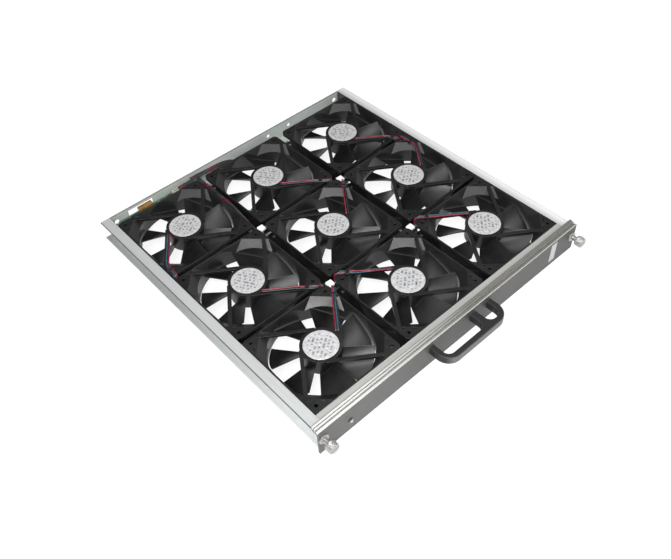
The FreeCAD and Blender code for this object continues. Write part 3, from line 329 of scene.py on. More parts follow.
class Finish:
    """A material under way: its tree, its shader and the coordinates that it reads."""

    def __init__(self, name, **shader_values):
        self.material = bpy.data.materials.new(name)
        self.material.use_nodes = True
        self.tree = self.material.node_tree
        self.shader = self.tree.nodes["Principled BSDF"]
        for socket, number in shader_values.items():
            self.shader.inputs[socket.replace("_", " ")].default_value = number
        self.coords = self.tree.nodes.new("ShaderNodeTexCoord")

    def place(self, group, **numbers):
        """A shared group with its own values, on the object's coordinates."""
        node = self.tree.nodes.new("ShaderNodeGroup")
        node.node_tree = group
        for socket, number in numbers.items():
            node.inputs[socket].default_value = number
        if "Vector" in node.inputs:
            self.tree.links.new(self.coords.outputs["Object"], node.inputs["Vector"])
        return node

    def axes(self, vector):
        """The X, Y and Z of a vector."""
        node = self.tree.nodes.new("ShaderNodeSeparateXYZ")
        self.tree.links.new(vector, node.inputs[0])
        return tuple(node.outputs)

    def math(self, operation, first, second=None):
        return math_node(self.tree, operation, first, second)

    def within(self, value, middle, half):
        """1 where a value lies less than half from a middle, and 0 elsewhere."""
        return self.math("LESS_THAN", self.math("ABSOLUTE", self.math("SUBTRACT", value, middle)), half)

    def blend(self, mask, first, second):
        """A colour that goes from first to second as the mask goes from 0 to 1."""
        node = self.tree.nodes.new("ShaderNodeMix")
        node.data_type = "RGBA"
        self.tree.links.new(mask, node.inputs["Factor"])
        for socket, colour in ((node.inputs[6], first), (node.inputs[7], second)):
            if isinstance(colour, tuple):
                socket.default_value = (*colour, 1)
            else:
                self.tree.links.new(colour, socket)
        return node.outputs[2]

    def spread(self, value, low, high, start=0.3, end=0.7):
        """A value's range from start to end, laid out from low to high."""
        node = self.tree.nodes.new("ShaderNodeMapRange")
        for socket, number in zip(("From Min", "From Max", "To Min", "To Max"), (start, end, low, high)):
            node.inputs[socket].default_value = number
        self.tree.links.new(value, node.inputs["Value"])
        return node.outputs["Result"]

    def drift(self, noise, dark, pale):
        """A colour that drifts between two tones as a noise does."""
        return self.blend(self.spread(noise, 0, 1), dark, pale)

    def colour(self, source):
        self.tree.links.new(source, self.shader.inputs["Base Color"])

    def rough(self, source):
        self.tree.links.new(source, self.shader.inputs["Roughness"])

    def bump(self, height, strength, distance, normal=None):
        node = self.tree.nodes.new("ShaderNodeBump")
        node.inputs["Strength"].default_value = strength
        node.inputs["Distance"].default_value = distance
        self.tree.links.new(height, node.inputs["Height"])
        if normal is not None:
            self.tree.links.new(normal, node.inputs["Normal"])
        self.tree.links.new(node.outputs["Normal"], self.shader.inputs["Normal"])


def moulded(name, dark, pale, rub_and_glint, rough, drift=40.0, fine=2200.0, strength=0.25):
    """Moulded plastic: two close tones that drift, corners coloured paler as edge rub and painted highlight,
    and a fine skin.
    """
    finish = Finish(name)
    grain = finish.place(GRAIN, Drift=drift, Fine=fine)
    edges = finish.place(EDGES, Spread=5.0)
    tone = finish.drift(grain.outputs["Tone"], dark, pale)
    # Corners coloured paler: edge rub and painted highlight
    finish.colour(finish.blend(edges.outputs["Edge"], tone, rub_and_glint))
    finish.rough(finish.spread(grain.outputs["Tone"], rough - 0.06, rough + 0.08))
    finish.bump(grain.outputs["Height"], strength, 0.0001, edges.outputs["Normal"])
    return finish.material


def drawn_metal(name, dark, pale, rough, stretch, metallic=1.0, strength=0.08):
    """Rolled or drawn metal: fine lines along its length, clouded tone, and corners coloured paler as edge
    rub and painted highlight.
    """
    finish = Finish(name, Metallic=metallic)
    brush = finish.place(BRUSH, Stretch=stretch)
    edges = finish.place(EDGES, Spread=4.0)
    lines = finish.drift(brush.outputs["Line"], dark, pale)
    clouds = finish.blend(finish.spread(brush.outputs["Cloud"], 0, 0.35), lines, dark)
    # Corners coloured paler: edge rub and painted highlight
    finish.colour(finish.blend(edges.outputs["Edge"], clouds, pale))
    finish.rough(finish.spread(brush.outputs["Line"], rough - 0.07, rough + 0.09))
    finish.bump(brush.outputs["Line"], strength, 0.00008, edges.outputs["Normal"])
    return finish.material


ALONG_X = (14.0, 1600.0, 1600.0)
ALONG_Y = (1600.0, 14.0, 1600.0)

# Zones of the front panel, in millimetres: its two grooves ahead of its back edge, painted in shade,
# the seam at that edge, the lip behind its face, whose front edge is a painted highlight, and
# heights above the fans
PANEL_GROOVES = ((2.2, 4.2), (5.4, 6.9))
PANEL_SEAM = 0.7
PANEL_LIP = 1.2
PANEL_SKIN = 0.05
DECK_RISE = 0.4
GROOVE_RISE = 3.55
# Where along X the panel's painted sheen starts and where it is full, in metres
SHEEN_FROM, SHEEN_TO = 0.02, -0.16


def panel_finish():
    """Front panel: satin grey paint on the face, bare metal on the ribbed top. The ribs and the paint
    are coloured brighter towards the left end as a painted sheen, the seam behind the ribs is dark,
    the two grooves are dark with painted shade and the lip's front edge is a painted highlight; the
    seam, grooves and lip are told apart by their place along Y, the sheen by the place along X."""
    finish = Finish("panel_finish")
    grain = finish.place(GRAIN, Drift=25.0, Fine=1500.0)
    brush = finish.place(BRUSH, Stretch=ALONG_X)
    edges = finish.place(EDGES, Spread=4.0)
    x, y, z = finish.axes(finish.coords.outputs["Object"])
    face_y, back_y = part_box("front_panel")[0].y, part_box("front_panel")[1].y
    above = finish.math("GREATER_THAN", z, FAN_TOP + DECK_RISE * MM)
    behind = finish.math("GREATER_THAN", y, face_y + PANEL_SKIN * MM)
    bare = finish.math("MULTIPLY", above, behind)
    zones = [
        finish.within(y, back_y - (start + end) / 2 * MM, (end - start) / 2 * MM)
        for start, end in PANEL_GROOVES
    ]
    sunk = finish.math("LESS_THAN", z, FAN_TOP + GROOVE_RISE * MM)
    grooves = finish.math("MULTIPLY", finish.math("MAXIMUM", *zones), sunk)
    seam = finish.math("GREATER_THAN", y, back_y - PANEL_SEAM * MM)
    lip = finish.math("LESS_THAN", y, face_y + PANEL_LIP * MM)
    # Painted sheen: the paint and the bare metal are coloured brighter towards the left end
    mark_wear_and_panel_sheen = finish.spread(x, 0.0, 1.0, SHEEN_FROM, SHEEN_TO)
    tone, line = grain.outputs["Tone"], brush.outputs["Line"]
    paint = finish.blend(mark_wear_and_panel_sheen, finish.drift(tone, (0.050, 0.050, 0.049), (0.062, 0.062, 0.060)),
                         finish.drift(tone, (0.080, 0.080, 0.078), (0.096, 0.096, 0.094)))
    dull = finish.drift(line, (0.135, 0.132, 0.118), (0.185, 0.182, 0.165))
    metal = finish.blend(mark_wear_and_panel_sheen, dull, (0.62, 0.62, 0.60))
    # Painted shade: the two grooves are coloured dark
    groove_shade = finish.blend(mark_wear_and_panel_sheen, (0.11, 0.108, 0.097), (0.12, 0.12, 0.115))
    seam_tone = finish.blend(mark_wear_and_panel_sheen, (0.12, 0.118, 0.106), (0.10, 0.10, 0.095))
    # Painted highlight: the lip's front edge is coloured bright, brighter towards the left end
    lip_highlight = finish.blend(mark_wear_and_panel_sheen, (0.46, 0.46, 0.435), (0.60, 0.60, 0.575))
    grooved = finish.blend(grooves, metal, groove_shade)
    seamed = finish.blend(seam, grooved, seam_tone)
    topped = finish.blend(lip, seamed, lip_highlight)
    # Corners of the bare metal are coloured paler: edge rub and painted highlight
    painted_light = finish.blend(edges.outputs["Edge"], topped, (0.45, 0.45, 0.43))
    finish.colour(finish.blend(bare, paint, painted_light))
    finish.tree.links.new(finish.math("MULTIPLY", bare, 0.2), finish.shader.inputs["Metallic"])
    finish.rough(finish.spread(bare, 0.5, 0.36, 0, 1))
    finish.bump(grain.outputs["Height"], 0.12, 0.0001, edges.outputs["Normal"])
    return finish.material


# Zones of the side rails, in millimetres: the width of the painted shade along the top flange's cut
# edge and what the left rail adds to it, the place and half width of the line of painted shade at
# the bend, the lower flange's height, and the inner side, which is painted in shade
SHADED_EDGE = 0.2
LEFT_SHADED_EDGE = 0.7
BEND_PLACE, BEND_HALF = 3.2, 0.6
LOWER_FLANGE = 4
INNER_SIDE = 12.45


def rail_finish():
    """Side rails: sheet drawn along Y. Painted shade darkens the top flange's cut edge, more widely on
    the left rail, and the inner side by the fans; the lower flange is painted brighter towards the
    front and duller towards the rear and has a faint line of painted shade at its bend; and the
    right rail is painted paler towards its outer edge as a sheen; all are told by height and by the
    reach in from the edge."""
    finish = Finish("rail_finish", Metallic=0.35)
    brush = finish.place(BRUSH, Stretch=ALONG_Y)
    edges = finish.place(EDGES, Spread=4.0)
    x, y, z = finish.axes(finish.coords.outputs["Object"])
    line, cloud = brush.outputs["Line"], brush.outputs["Cloud"]
    inward = finish.math("SUBTRACT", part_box("right_rail")[1].x, finish.math("ABSOLUTE", x))
    low = finish.math("LESS_THAN", z, LOWER_FLANGE * MM)
    high = finish.math("GREATER_THAN", z, FAN_TOP / 2)
    left = finish.math("LESS_THAN", x, 0.0)
    edge_width = finish.math("ADD", finish.math("MULTIPLY", left, LEFT_SHADED_EDGE * MM), SHADED_EDGE * MM)
    # Painted shade: the top flange's cut edge, and on the left rail a strip of its top, are coloured dark as
    # the shade below the flange
    cut = finish.math("MULTIPLY", finish.math("LESS_THAN", inward, edge_width), high)
    bend = finish.math("MULTIPLY", finish.within(inward, BEND_PLACE * MM, BEND_HALF * MM), low)
    inside = finish.math("GREATER_THAN", inward, INNER_SIDE * MM)
    lines = finish.drift(line, (0.45, 0.467, 0.463), (0.535, 0.552, 0.548))
    clouds = finish.blend(finish.spread(cloud, 0, 0.35), lines, (0.45, 0.467, 0.463))
    # Painted sheen: the right rail is coloured paler towards its outer edge
    outward = finish.spread(inward, 0.0, 1.0, 0.011, 0.004)
    paler = finish.blend(outward, (0.56, 0.567, 0.565), (0.80, 0.807, 0.805))
    sided = finish.blend(left, paler, clouds)
    # Painted light: the lower flange is coloured brighter towards the front and duller towards the rear
    ahead = finish.spread(y, 0.0, 1.0, 0.05, -0.16)
    lower = finish.blend(low, sided, finish.blend(ahead, (0.39, 0.403, 0.40), (0.70, 0.717, 0.71)))
    # Painted shade: a faint dark line along the lower flange's bend, brighter towards the front
    bent = finish.blend(bend, lower, finish.blend(ahead, (0.345, 0.358, 0.354), (0.67, 0.688, 0.68)))
    # Painted shade: the inner side by the fans is coloured near black
    inside_shade = finish.blend(inside, bent, (0.05, 0.052, 0.051))
    finish.colour(finish.blend(cut, inside_shade, (0.09, 0.095, 0.095)))
    finish.rough(finish.spread(line, 0.33, 0.49))
    finish.bump(line, 0.08, 0.00008, edges.outputs["Normal"])
    return finish.material


WALL_RIM = 1.4


def wall_finish():
    """Rear wall and bearers: sheet drawn along X, duller along the wall's top edge."""
    finish = Finish("sheet_finish", Metallic=0.4)
    brush = finish.place(BRUSH, Stretch=ALONG_X)
    edges = finish.place(EDGES, Spread=4.0)
    line, cloud = brush.outputs["Line"], brush.outputs["Cloud"]
    height = finish.axes(finish.coords.outputs["Object"])[2]
    rim = finish.math("GREATER_THAN", height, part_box("rear_wall")[1].z - WALL_RIM * MM)
    lines = finish.drift(line, (0.56, 0.60, 0.575), (0.70, 0.74, 0.715))
    clouds = finish.blend(finish.spread(cloud, 0, 0.5), lines, (0.48, 0.52, 0.495))
    finish.colour(finish.blend(rim, clouds, (0.30, 0.31, 0.30)))
    finish.rough(finish.spread(line, 0.28, 0.42))
    finish.bump(line, 0.08, 0.00008, edges.outputs["Normal"])
    return finish.material


def handle_finish():
    """Pull handle: grey paint, with painted shade on the faces that look up and on the arms' sides, as
    the normal tells once it is rounded over 2 mm, and corners coloured paler as edge rub and painted
    highlight."""
    finish = Finish("handle_coat", Roughness=0.5, Specular_IOR_Level=0.3)
    grain = finish.place(GRAIN, Drift=40.0, Fine=1500.0)
    edges = finish.place(EDGES, Spread=4.0)
    round_normal = finish.tree.nodes.new("ShaderNodeBevel")
    round_normal.samples = 6
    round_normal.inputs["Radius"].default_value = 0.002
    x, _, z = finish.axes(round_normal.outputs["Normal"])
    # Painted shade: faces that look up or sideways are coloured near black
    upward = finish.spread(z, 0.0, 1.0, 0.35, 0.85)
    sideways = finish.spread(finish.math("ABSOLUTE", x), 0.0, 1.0, 0.45, 0.85)
    painted_light = finish.math("MAXIMUM", upward, sideways)
    paint = finish.drift(grain.outputs["Tone"], (0.108, 0.108, 0.105), (0.128, 0.128, 0.124))
    shaded_paint = finish.blend(painted_light, paint, (0.014, 0.014, 0.0135))
    # Corners coloured paler: edge rub and painted highlight
    finish.colour(finish.blend(edges.outputs["Edge"], shaded_paint, (0.13, 0.13, 0.127)))
    finish.bump(grain.outputs["Height"], 0.2, 0.0001, edges.outputs["Normal"])
    return finish.material


# Grey marks of the labels, in shares of the label's width: rows, marks to a row, the share of a
# row that a mark fills, and how far out they reach
MARK_ROWS = 9.0
MARKS_TO_A_ROW = 13.0
MARK_HEIGHT = 0.55
MARK_REACH = 0.40


def label_finish():
    """Paper label: a pale silver ground with a clear rim, and inside it rows of short grey marks of
    uneven strength. A mark is where a noise along its row is high, and each row has its own noise."""
    finish = Finish("label_finish", Roughness=0.42, Metallic=0.5)
    across, along, _ = finish.axes(finish.coords.outputs["UV"])
    rows = finish.math("MULTIPLY", along, MARK_ROWS)
    in_row = finish.math("LESS_THAN", finish.math("FRACT", rows), MARK_HEIGHT)
    number = finish.math("FLOOR", rows)
    point = finish.tree.nodes.new("ShaderNodeCombineXYZ")
    finish.tree.links.new(finish.math("MULTIPLY", across, MARKS_TO_A_ROW), point.inputs["X"])
    finish.tree.links.new(finish.math("MULTIPLY", number, 7.3), point.inputs["Y"])
    dashes = finish.math("GREATER_THAN", noise_node(finish.tree, point.outputs[0], 1.0, 0.0), 0.52)
    squares = [
        finish.math("POWER", finish.math("ABSOLUTE", finish.math("SUBTRACT", share, 0.5)), 2.0)
        for share in (across, along)
    ]
    inside = finish.math("LESS_THAN", finish.math("SQRT", finish.math("ADD", *squares)), MARK_REACH)
    marks = finish.math("MULTIPLY", in_row, finish.math("MULTIPLY", dashes, inside))
    grain = finish.place(GRAIN, Drift=260.0, Fine=2500.0)
    mark_wear_and_panel_sheen = finish.spread(grain.outputs["Tone"], 0.3, 0.95, 0.35, 0.65)
    ground = finish.drift(grain.outputs["Tone"], (0.52, 0.52, 0.53), (0.77, 0.77, 0.78))
    finish.colour(finish.blend(finish.math("MULTIPLY", marks, mark_wear_and_panel_sheen), ground, (0.14, 0.14, 0.15)))
    finish.bump(grain.outputs["Height"], 0.06, 0.0001)
    return finish.material


def insulation(name, dark, pale):
    """Lead insulation: soft PVC with tone that drifts along the lead."""
    finish = Finish(name, Roughness=0.34)
    grain = finish.place(GRAIN, Drift=180.0, Fine=3000.0)
    finish.colour(finish.drift(grain.outputs["Tone"], dark, pale))
    finish.bump(grain.outputs["Height"], 0.1, 0.00005)
    return finish.material


def bundle_finish():
    """Lead bundle: each strand's number is kept along the map, and sets red, blue or black."""
    finish = Finish("bundle_insulation", Roughness=0.34)
    strand = finish.axes(finish.coords.outputs["UV"])[0]
    red = finish.math("LESS_THAN", strand, 0.375)
    blue = finish.math("GREATER_THAN", strand, 0.87)
    grain = finish.place(GRAIN, Drift=180.0, Fine=3000.0)
    tone = grain.outputs["Tone"]
    black_tone = finish.drift(tone, (0.008, 0.012, 0.012), (0.02, 0.03, 0.03))
    red_tone = finish.drift(tone, (0.040, 0.005, 0.010), (0.12, 0.012, 0.025))
    blue_tone = finish.drift(tone, (0.010, 0.030, 0.040), (0.030, 0.060, 0.080))
    finish.colour(finish.blend(blue, finish.blend(red, black_tone, red_tone), blue_tone))
    finish.bump(grain.outputs["Height"], 0.1, 0.00005)
    return finish.material


def board_finish():
    """Solder mask: deep green with paler lines where copper runs under it."""
    finish = Finish("board_finish", Roughness=0.3, Coat_Weight=0.3, Coat_Roughness=0.15)
    brick = finish.tree.nodes.new("ShaderNodeTexBrick")
    brick.inputs["Scale"].default_value = 260.0
    brick.inputs["Mortar Size"].default_value = 0.06
    brick.inputs["Color1"].default_value = (0, 0, 0, 1)
    brick.inputs["Color2"].default_value = (0.15, 0.15, 0.15, 1)
    brick.inputs["Mortar"].default_value = (1, 1, 1, 1)
    finish.tree.links.new(finish.coords.outputs["Object"], brick.inputs["Vector"])
    grain = finish.place(GRAIN, Drift=90.0, Fine=2000.0)
    mask = finish.drift(grain.outputs["Tone"], (0.007, 0.040, 0.018), (0.012, 0.060, 0.027))
    finish.colour(finish.blend(brick.outputs["Color"], mask, (0.024, 0.095, 0.045)))
    finish.bump(brick.outputs["Fac"], 0.1, 0.0001)
    return finish.material


LENS_RADIUS = 2.3


def lens_finish():
    """Status lamp: a clear pale lens in a dark flange, told apart by the reach from the lamp's axis."""
    finish = Finish("lens_finish", Roughness=0.12, Coat_Weight=0.6, Coat_Roughness=0.05)
    tree = finish.tree
    low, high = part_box("status_lamp")
    away = tree.nodes.new("ShaderNodeVectorMath")
    away.operation = "DISTANCE"
    flat = tree.nodes.new("ShaderNodeVectorMath")
    flat.operation = "MULTIPLY"
    flat.inputs[1].default_value = (1, 0, 1)
    tree.links.new(finish.coords.outputs["Object"], flat.inputs[0])
    tree.links.new(flat.outputs[0], away.inputs[0])
    away.inputs[1].default_value = ((low.x + high.x) / 2, 0, (low.z + high.z) / 2)
    rim = finish.math("GREATER_THAN", away.outputs["Value"], LENS_RADIUS * MM)
    grain = finish.place(GRAIN, Drift=120.0, Fine=2000.0)
    lens = finish.drift(grain.outputs["Tone"], (0.26, 0.265, 0.25), (0.34, 0.345, 0.33))
    finish.colour(finish.blend(rim, lens, (0.03, 0.03, 0.03)))
    finish.bump(grain.outputs["Height"], 0.05, 0.0001)
    return finish.material


FINISHES = {
    "rail_metal": rail_finish(),
    "wall_sheet": wall_finish(),
    "strip_metal": drawn_metal(
        "strip_finish", (0.34, 0.34, 0.325), (0.44, 0.44, 0.42), 0.45, ALONG_X, 0.3, strength=0.15),
    "panel_metal": panel_finish(),
    "handle_metal": handle_finish(),
    "screw_steel": drawn_metal("screw_finish", (0.45, 0.45, 0.46), (0.60, 0.60, 0.61), 0.35, ALONG_X),
    "screw_nickel": drawn_metal(
        "nickel_finish", (0.38, 0.375, 0.36), (0.52, 0.51, 0.49), 0.34, ALONG_Y, 0.85),
    "ferrule_nickel": drawn_metal(
        "ferrule_finish", (0.36, 0.355, 0.34), (0.50, 0.49, 0.47), 0.34, ALONG_Y, 0.85),
    "ring_steel": drawn_metal("ring_finish", (0.30, 0.30, 0.31), (0.42, 0.42, 0.43), 0.4, ALONG_X),
    "stator_steel": drawn_metal("winding_finish", (0.32, 0.16, 0.08), (0.46, 0.25, 0.13), 0.4, ALONG_X),
    "bearing_bronze": drawn_metal("bronze_finish", (0.42, 0.29, 0.15), (0.55, 0.40, 0.22), 0.45, ALONG_X),
    "rotor_steel": drawn_metal("yoke_finish", (0.38, 0.38, 0.39), (0.50, 0.50, 0.51), 0.35, ALONG_X),
    "frame_plastic": moulded(
        "frame_plastic", (0.005, 0.005, 0.005), (0.009, 0.009, 0.009), (0.03, 0.03, 0.03), 0.42),
    "blade_plastic": moulded(
        "blade_plastic", (0.004, 0.004, 0.0045), (0.008, 0.008, 0.0085), (0.04, 0.04, 0.04), 0.40,
        strength=0.12),
    "red_wire": insulation("red_insulation", (0.135, 0.0075, 0.02), (0.25, 0.019, 0.041)),
    "blue_wire": insulation("blue_insulation", (0.014, 0.045, 0.065), (0.035, 0.095, 0.135)),
    "black_wire": insulation("black_insulation", (0.010, 0.016, 0.016), (0.02, 0.035, 0.033)),
    "bundle_wire": bundle_finish(),
    "post_nylon": moulded(
        "nylon", (0.76, 0.76, 0.74), (0.86, 0.86, 0.84), (0.90, 0.90, 0.89), 0.40, 60, 1800, 0.1),
    "board_green": board_finish(),
    "standoff_brass": drawn_metal("brass_finish", (0.52, 0.38, 0.17), (0.68, 0.52, 0.26), 0.3, ALONG_X),
    "plug_tan": moulded(
        "plug_plastic", (0.16, 0.080, 0.017), (0.25, 0.135, 0.038), (0.34, 0.22, 0.09), 0.45, 80, 1800, 0.15),
    "header_white": moulded(
        "header_plastic", (0.34, 0.335, 0.29), (0.42, 0.41, 0.36), (0.50, 0.49, 0.45), 0.45, 80, 1800, 0.15),
    "lamp_lens": lens_finish(),
}
SLOT_OF = {part["node"]: part["material_slot"] for part in frame["record"]["subparts"]}


def dress(obj, material):
    """Give an object one material."""
    obj.data.materials.clear()
    obj.data.materials.append(material)


for node_name, node in nodes.items():
    dress(node, FINISHES[SLOT_OF[node_name]])


def finish_piece(obj, material, body):
    """Paint a new piece and tie it to its body."""
    dress(obj, material)
    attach(obj, body)


# Fan labels

LABEL_RADIUS = 19.4 * MM
LABEL_THICK = 0.12 * MM
LABEL_TURNS = {
    "front_left": 215, "front_middle": 40, "front_right": 45, "middle_left": 120, "centre": 220,
    "middle_right": 215, "rear_left": 30, "rear_middle": 125, "rear_right": 128,
}


def add_labels():
    """Round labels on the motor bases: a flat disc whose rim rounds down to the base, in rings
    about each fan's axis. The pattern's map is the disc's own square, turned to the label's angle."""
    share = np.array([1e-4, 0.25, 0.5, 0.75, 0.95, 0.985, 1.0, 1.0])
    height = np.array([1, 1, 1, 1, 1, 0.9, 0.5, 0.0]) * LABEL_THICK
    disc, faces = turned_surface(np.c_[share * LABEL_RADIUS, height], 64)
    parts, maps = [], []
    for name, turn in LABEL_TURNS.items():
        a = math.radians(turn)
        flat = disc[:, :2] @ np.array([[math.cos(a), -math.sin(a)], [math.sin(a), math.cos(a)]])
        maps.append(flat / (2 * LABEL_RADIUS) + 0.5)
        parts.append((disc + fan_centre(name) + [0, 0, FAN_TOP], faces))
    points, faces = merged(parts)
    labels = add_mesh("fan_labels", points, faces, uv=np.concatenate(maps))
    finish_piece(labels, label_finish(), "tray")


add_labels()

# Fan leads and bundles, in millimetres

SHEET = 1.2
LEAD_RADIUS = 0.8
LEAD_PITCH = 1.9
BUNDLE_RADIUS = 2.2
LEAD_SPREAD = 1.6
LEAD_STACK = 0.45
# Lead corner of each fan in quarter turns, whether the leads leave by the corner's other side,
# and how far along that side
LEAD_CORNERS = {
    "front_left": (0, False, 50.5), "front_middle": (1, False, 50.5), "front_right": (1, False, 50.5),
    "middle_left": (3, False, 50.5), "centre": (0, False, 50.5), "middle_right": (0, True, 50.0),
    "rear_left": (2, True, 56.0), "rear_middle": (3, False, 50.5), "rear_right": (3, False, 41.5),
}
LEAD_BENDS = {"rear_left": (53.5, 42.5)}
COMMON_BEND = (49.6, 34.8)
LEAD_COLOURS = {
    "red_leads": ("red_wire", -1), "blue_leads": ("blue_wire", 0), "black_leads": ("black_wire", 1),
}
# Angle of each fan's red lead about the twisted three at the hub, its growth to the drop, and
# which way round the blue and black ones follow
LEAD_TWISTS = {
    "front_left": (150, 0, -1), "front_middle": (150, -240, 1), "front_right": (150, 30, -1),
    "middle_left": (100, 30, 1), "centre": (120, 10, 1), "middle_right": (110, 20, 1),
    "rear_left": (150, 10, -1), "rear_middle": (110, 40, 1), "rear_right": (100, 40, 1),
}
LEAD_EDGE = 63.6
LEAD_OVER = FAN_TOP / MM + LEAD_RADIUS + 0.15


def at_fan(name, points):
    """Points in millimetres of a fan's own corner, turned to its lead corner and set on the fan."""
    turn = math.radians(90 * LEAD_CORNERS[name][0])
    return turned_flat(np.asarray(points, float) * MM, turn, fan_centre(name))


def lead_route(name, lane):
    """Control points of one lead's lane: from the hub along the strut, over the flange and down."""
    quarter, other_side, leave = LEAD_CORNERS[name]
    bend_x, bend_y = LEAD_BENDS.get(name, COMMON_BEND)
    shift = lane * LEAD_PITCH
    in_row = (quarter % 2 == 1) != other_side
    low = SHEET + 0.3 if in_row else SHEET + 2 * BUNDLE_RADIUS + 0.3
    start = np.array([23.9 + shift * 0.8, 0.9 - shift * 0.6, LEAD_OVER])
    if other_side:
        bend = np.array([bend_x + shift, bend_y - shift * 0.34, LEAD_OVER])
        drop = np.array([leave + shift, LEAD_EDGE, LEAD_OVER])
        fall, end = drop + [0.6, 0.3, -8], np.array([leave + 1.2 + shift, LEAD_EDGE, low])
    else:
        bend = np.array([bend_x + shift * 0.78, bend_y - shift * 0.63, LEAD_OVER])
        drop = np.array([LEAD_EDGE, leave - shift * 1.55, LEAD_OVER])
        fall, end = drop + [0.3, 1, -8], np.array([LEAD_EDGE, leave + 2 - shift * 1.55, low])
    brow = drop + (bend - drop) * (3.4 / np.linalg.norm(bend - drop))
    strut = [start, start * 0.65 + bend * 0.35, start * 0.3 + bend * 0.7, bend]
    return at_fan(name, strut + [(bend + brow) / 2, brow, drop, fall, end])


def add_leads():
    """Three strands to each fan, loosely twisted where they lie on the strut: each is a tube about
    the lanes' middle line, at an angle that grows with the length run, and eases into its own lane
    where the leads spread to drop beside the fan."""
    middles = {name: spline_points(lead_route(name, 0)) for name in FAN_NAMES}
    for node_name, (slot, lane) in LEAD_COLOURS.items():
        tubes = []
        for name in FAN_NAMES:
            middle, own = middles[name], spline_points(lead_route(name, lane))
            run = np.linspace(0, 1, len(middle))
            start, growth, follow = LEAD_TWISTS[name]
            angle = np.radians(start + growth * run + follow * 120 * (lane + 1))[:, None]
            _, side, _ = path_frames(middle)
            sideways = LEAD_SPREAD * side * np.cos(angle)
            upwards = LEAD_STACK * np.array([0, 0, 1.0]) * (np.sin(angle) + 1)
            twisted = middle + MM * (sideways + upwards)
            ease = np.clip((run - 0.42) / 0.16, 0, 1)[:, None]
            ease = ease * ease * (3 - 2 * ease)
            tubes.append(tube_surface(twisted * (1 - ease) + own * ease, LEAD_RADIUS * MM))
        strands = add_mesh(f"{node_name[:-1]}_strands", *merged(tubes))
        finish_piece(strands, FINISHES[slot], "tray")
        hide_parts(node_name)


add_leads()

BUNDLE_ROUTES = {
    "left_bundle": [
        (-67.2, -76, 4.0), (-67.2, 30, 4.5), (-67.2, 66, 12.0), (-67.2, 118, 25.0), (-67.3, 172, 24.8),
        (-68.1, 190.8, 24.6), (-96, 191.2, 24.2),
    ],
    "right_bundle": [
        (62.9, -76, 4.0), (62.9, 136, 4.0), (62.9, 168, 4.9), (62.5, 194.5, 5.1), (36, 194.7, 4.7),
        (14, 194.5, 4.9), (-20, 196, 21.3), (-74, 196.6, 23.3),
    ],
}
STRANDS = 8
STRAND_RADIUS = 0.72
STRAND_REACH = 1.95
STRAND_TURN = 40.0


def add_bundles():
    """Twisted bundles: each strand is a tube about the bundle's line, at a fixed reach from it and
    at an angle that grows with the length run. The map's first axis keeps the strand's number."""
    for node_name, corners in BUNDLE_ROUTES.items():
        corners = np.array(corners, float)
        halves = (corners[:-1] + corners[1:]) / 2
        route = np.empty((2 * len(corners) - 1, 3))
        route[0::2], route[1::2] = corners, halves
        line = spline_points(route * MM, 24)
        _, side, up = path_frames(line)
        run = np.r_[0, np.cumsum(np.linalg.norm(np.diff(line, axis=0), axis=1))]
        tubes, marks = [], []
        for strand in range(STRANDS):
            angle = 2 * math.pi * (run / (STRAND_TURN * MM) + strand / STRANDS)
            offset = side * np.cos(angle)[:, None] + up * np.sin(angle)[:, None]
            tubes.append(tube_surface(line + STRAND_REACH * MM * offset, STRAND_RADIUS * MM, 8))
            marks.append(np.full((len(tubes[-1][0]), 2), (strand + 0.5) / STRANDS))
        twisted = add_mesh(f"{node_name}_strands", *merged(tubes), uv=np.concatenate(marks))
        finish_piece(twisted, FINISHES["bundle_wire"], "tray")
        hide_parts(node_name)


add_bundles()


# Lead hooks: half a hook's length, half its width outside and inside its feet, how far along the
# leads it stands, and the heights of its sole, roof, feet and top from the fan's top
HOOK_LENGTH, HOOK_OUTER, HOOK_INNER = 2.2, 4.1, 3.2
HOOK_ALONG, HOOK_ALONG_OTHER_SIDE = 9.0, 9.5
HOOK_SOLE, HOOK_ROOF, HOOK_FEET, HOOK_TOP = -0.1, 2.1, 2.5, 3.0


def add_lead_hooks():
    """Small moulded bridges that hold each fan's leads down at the corner: a roof over the three
    leads on two feet, each a block with its edges cut off, turned to the leads' run."""
    top = FAN_TOP / MM
    roof = rounded_block(
        (-HOOK_LENGTH, -HOOK_OUTER, top + HOOK_ROOF), (HOOK_LENGTH, HOOK_OUTER, top + HOOK_TOP), 0.35)
    feet = [
        rounded_block((-HOOK_LENGTH, low, top + HOOK_SOLE), (HOOK_LENGTH, high, top + HOOK_FEET), 0.3)
        for low, high in ((-HOOK_OUTER, -HOOK_INNER), (HOOK_INNER, HOOK_OUTER))
    ]
    points, faces = merged([roof, *feet])
    parts = []
    for name, (_, other_side, leave) in LEAD_CORNERS.items():
        bend = np.array(LEAD_BENDS.get(name, COMMON_BEND))
        drop = np.array([leave, LEAD_EDGE] if other_side else [LEAD_EDGE, leave])
        run = (drop - bend) / np.linalg.norm(drop - bend)
        middle = bend + run * (HOOK_ALONG_OTHER_SIDE if other_side else HOOK_ALONG)
        placed = turned_flat(points, math.atan2(run[1], run[0]), [middle[0], middle[1], 0])
        parts.append((at_fan(name, placed), faces))
    hooks = add_mesh("lead_hooks", *merged(parts), smooth=False)
    finish_piece(hooks, FINISHES["frame_plastic"], "tray")


add_lead_hooks()

# Small pieces, in millimetres

TAG_X = (157.0, 167.5)
TAG_Z = (-2.0, 26.0)
TAG_FRONT, TAG_BACK = 0.12, 0.005
TAG_ROUND = 0.05


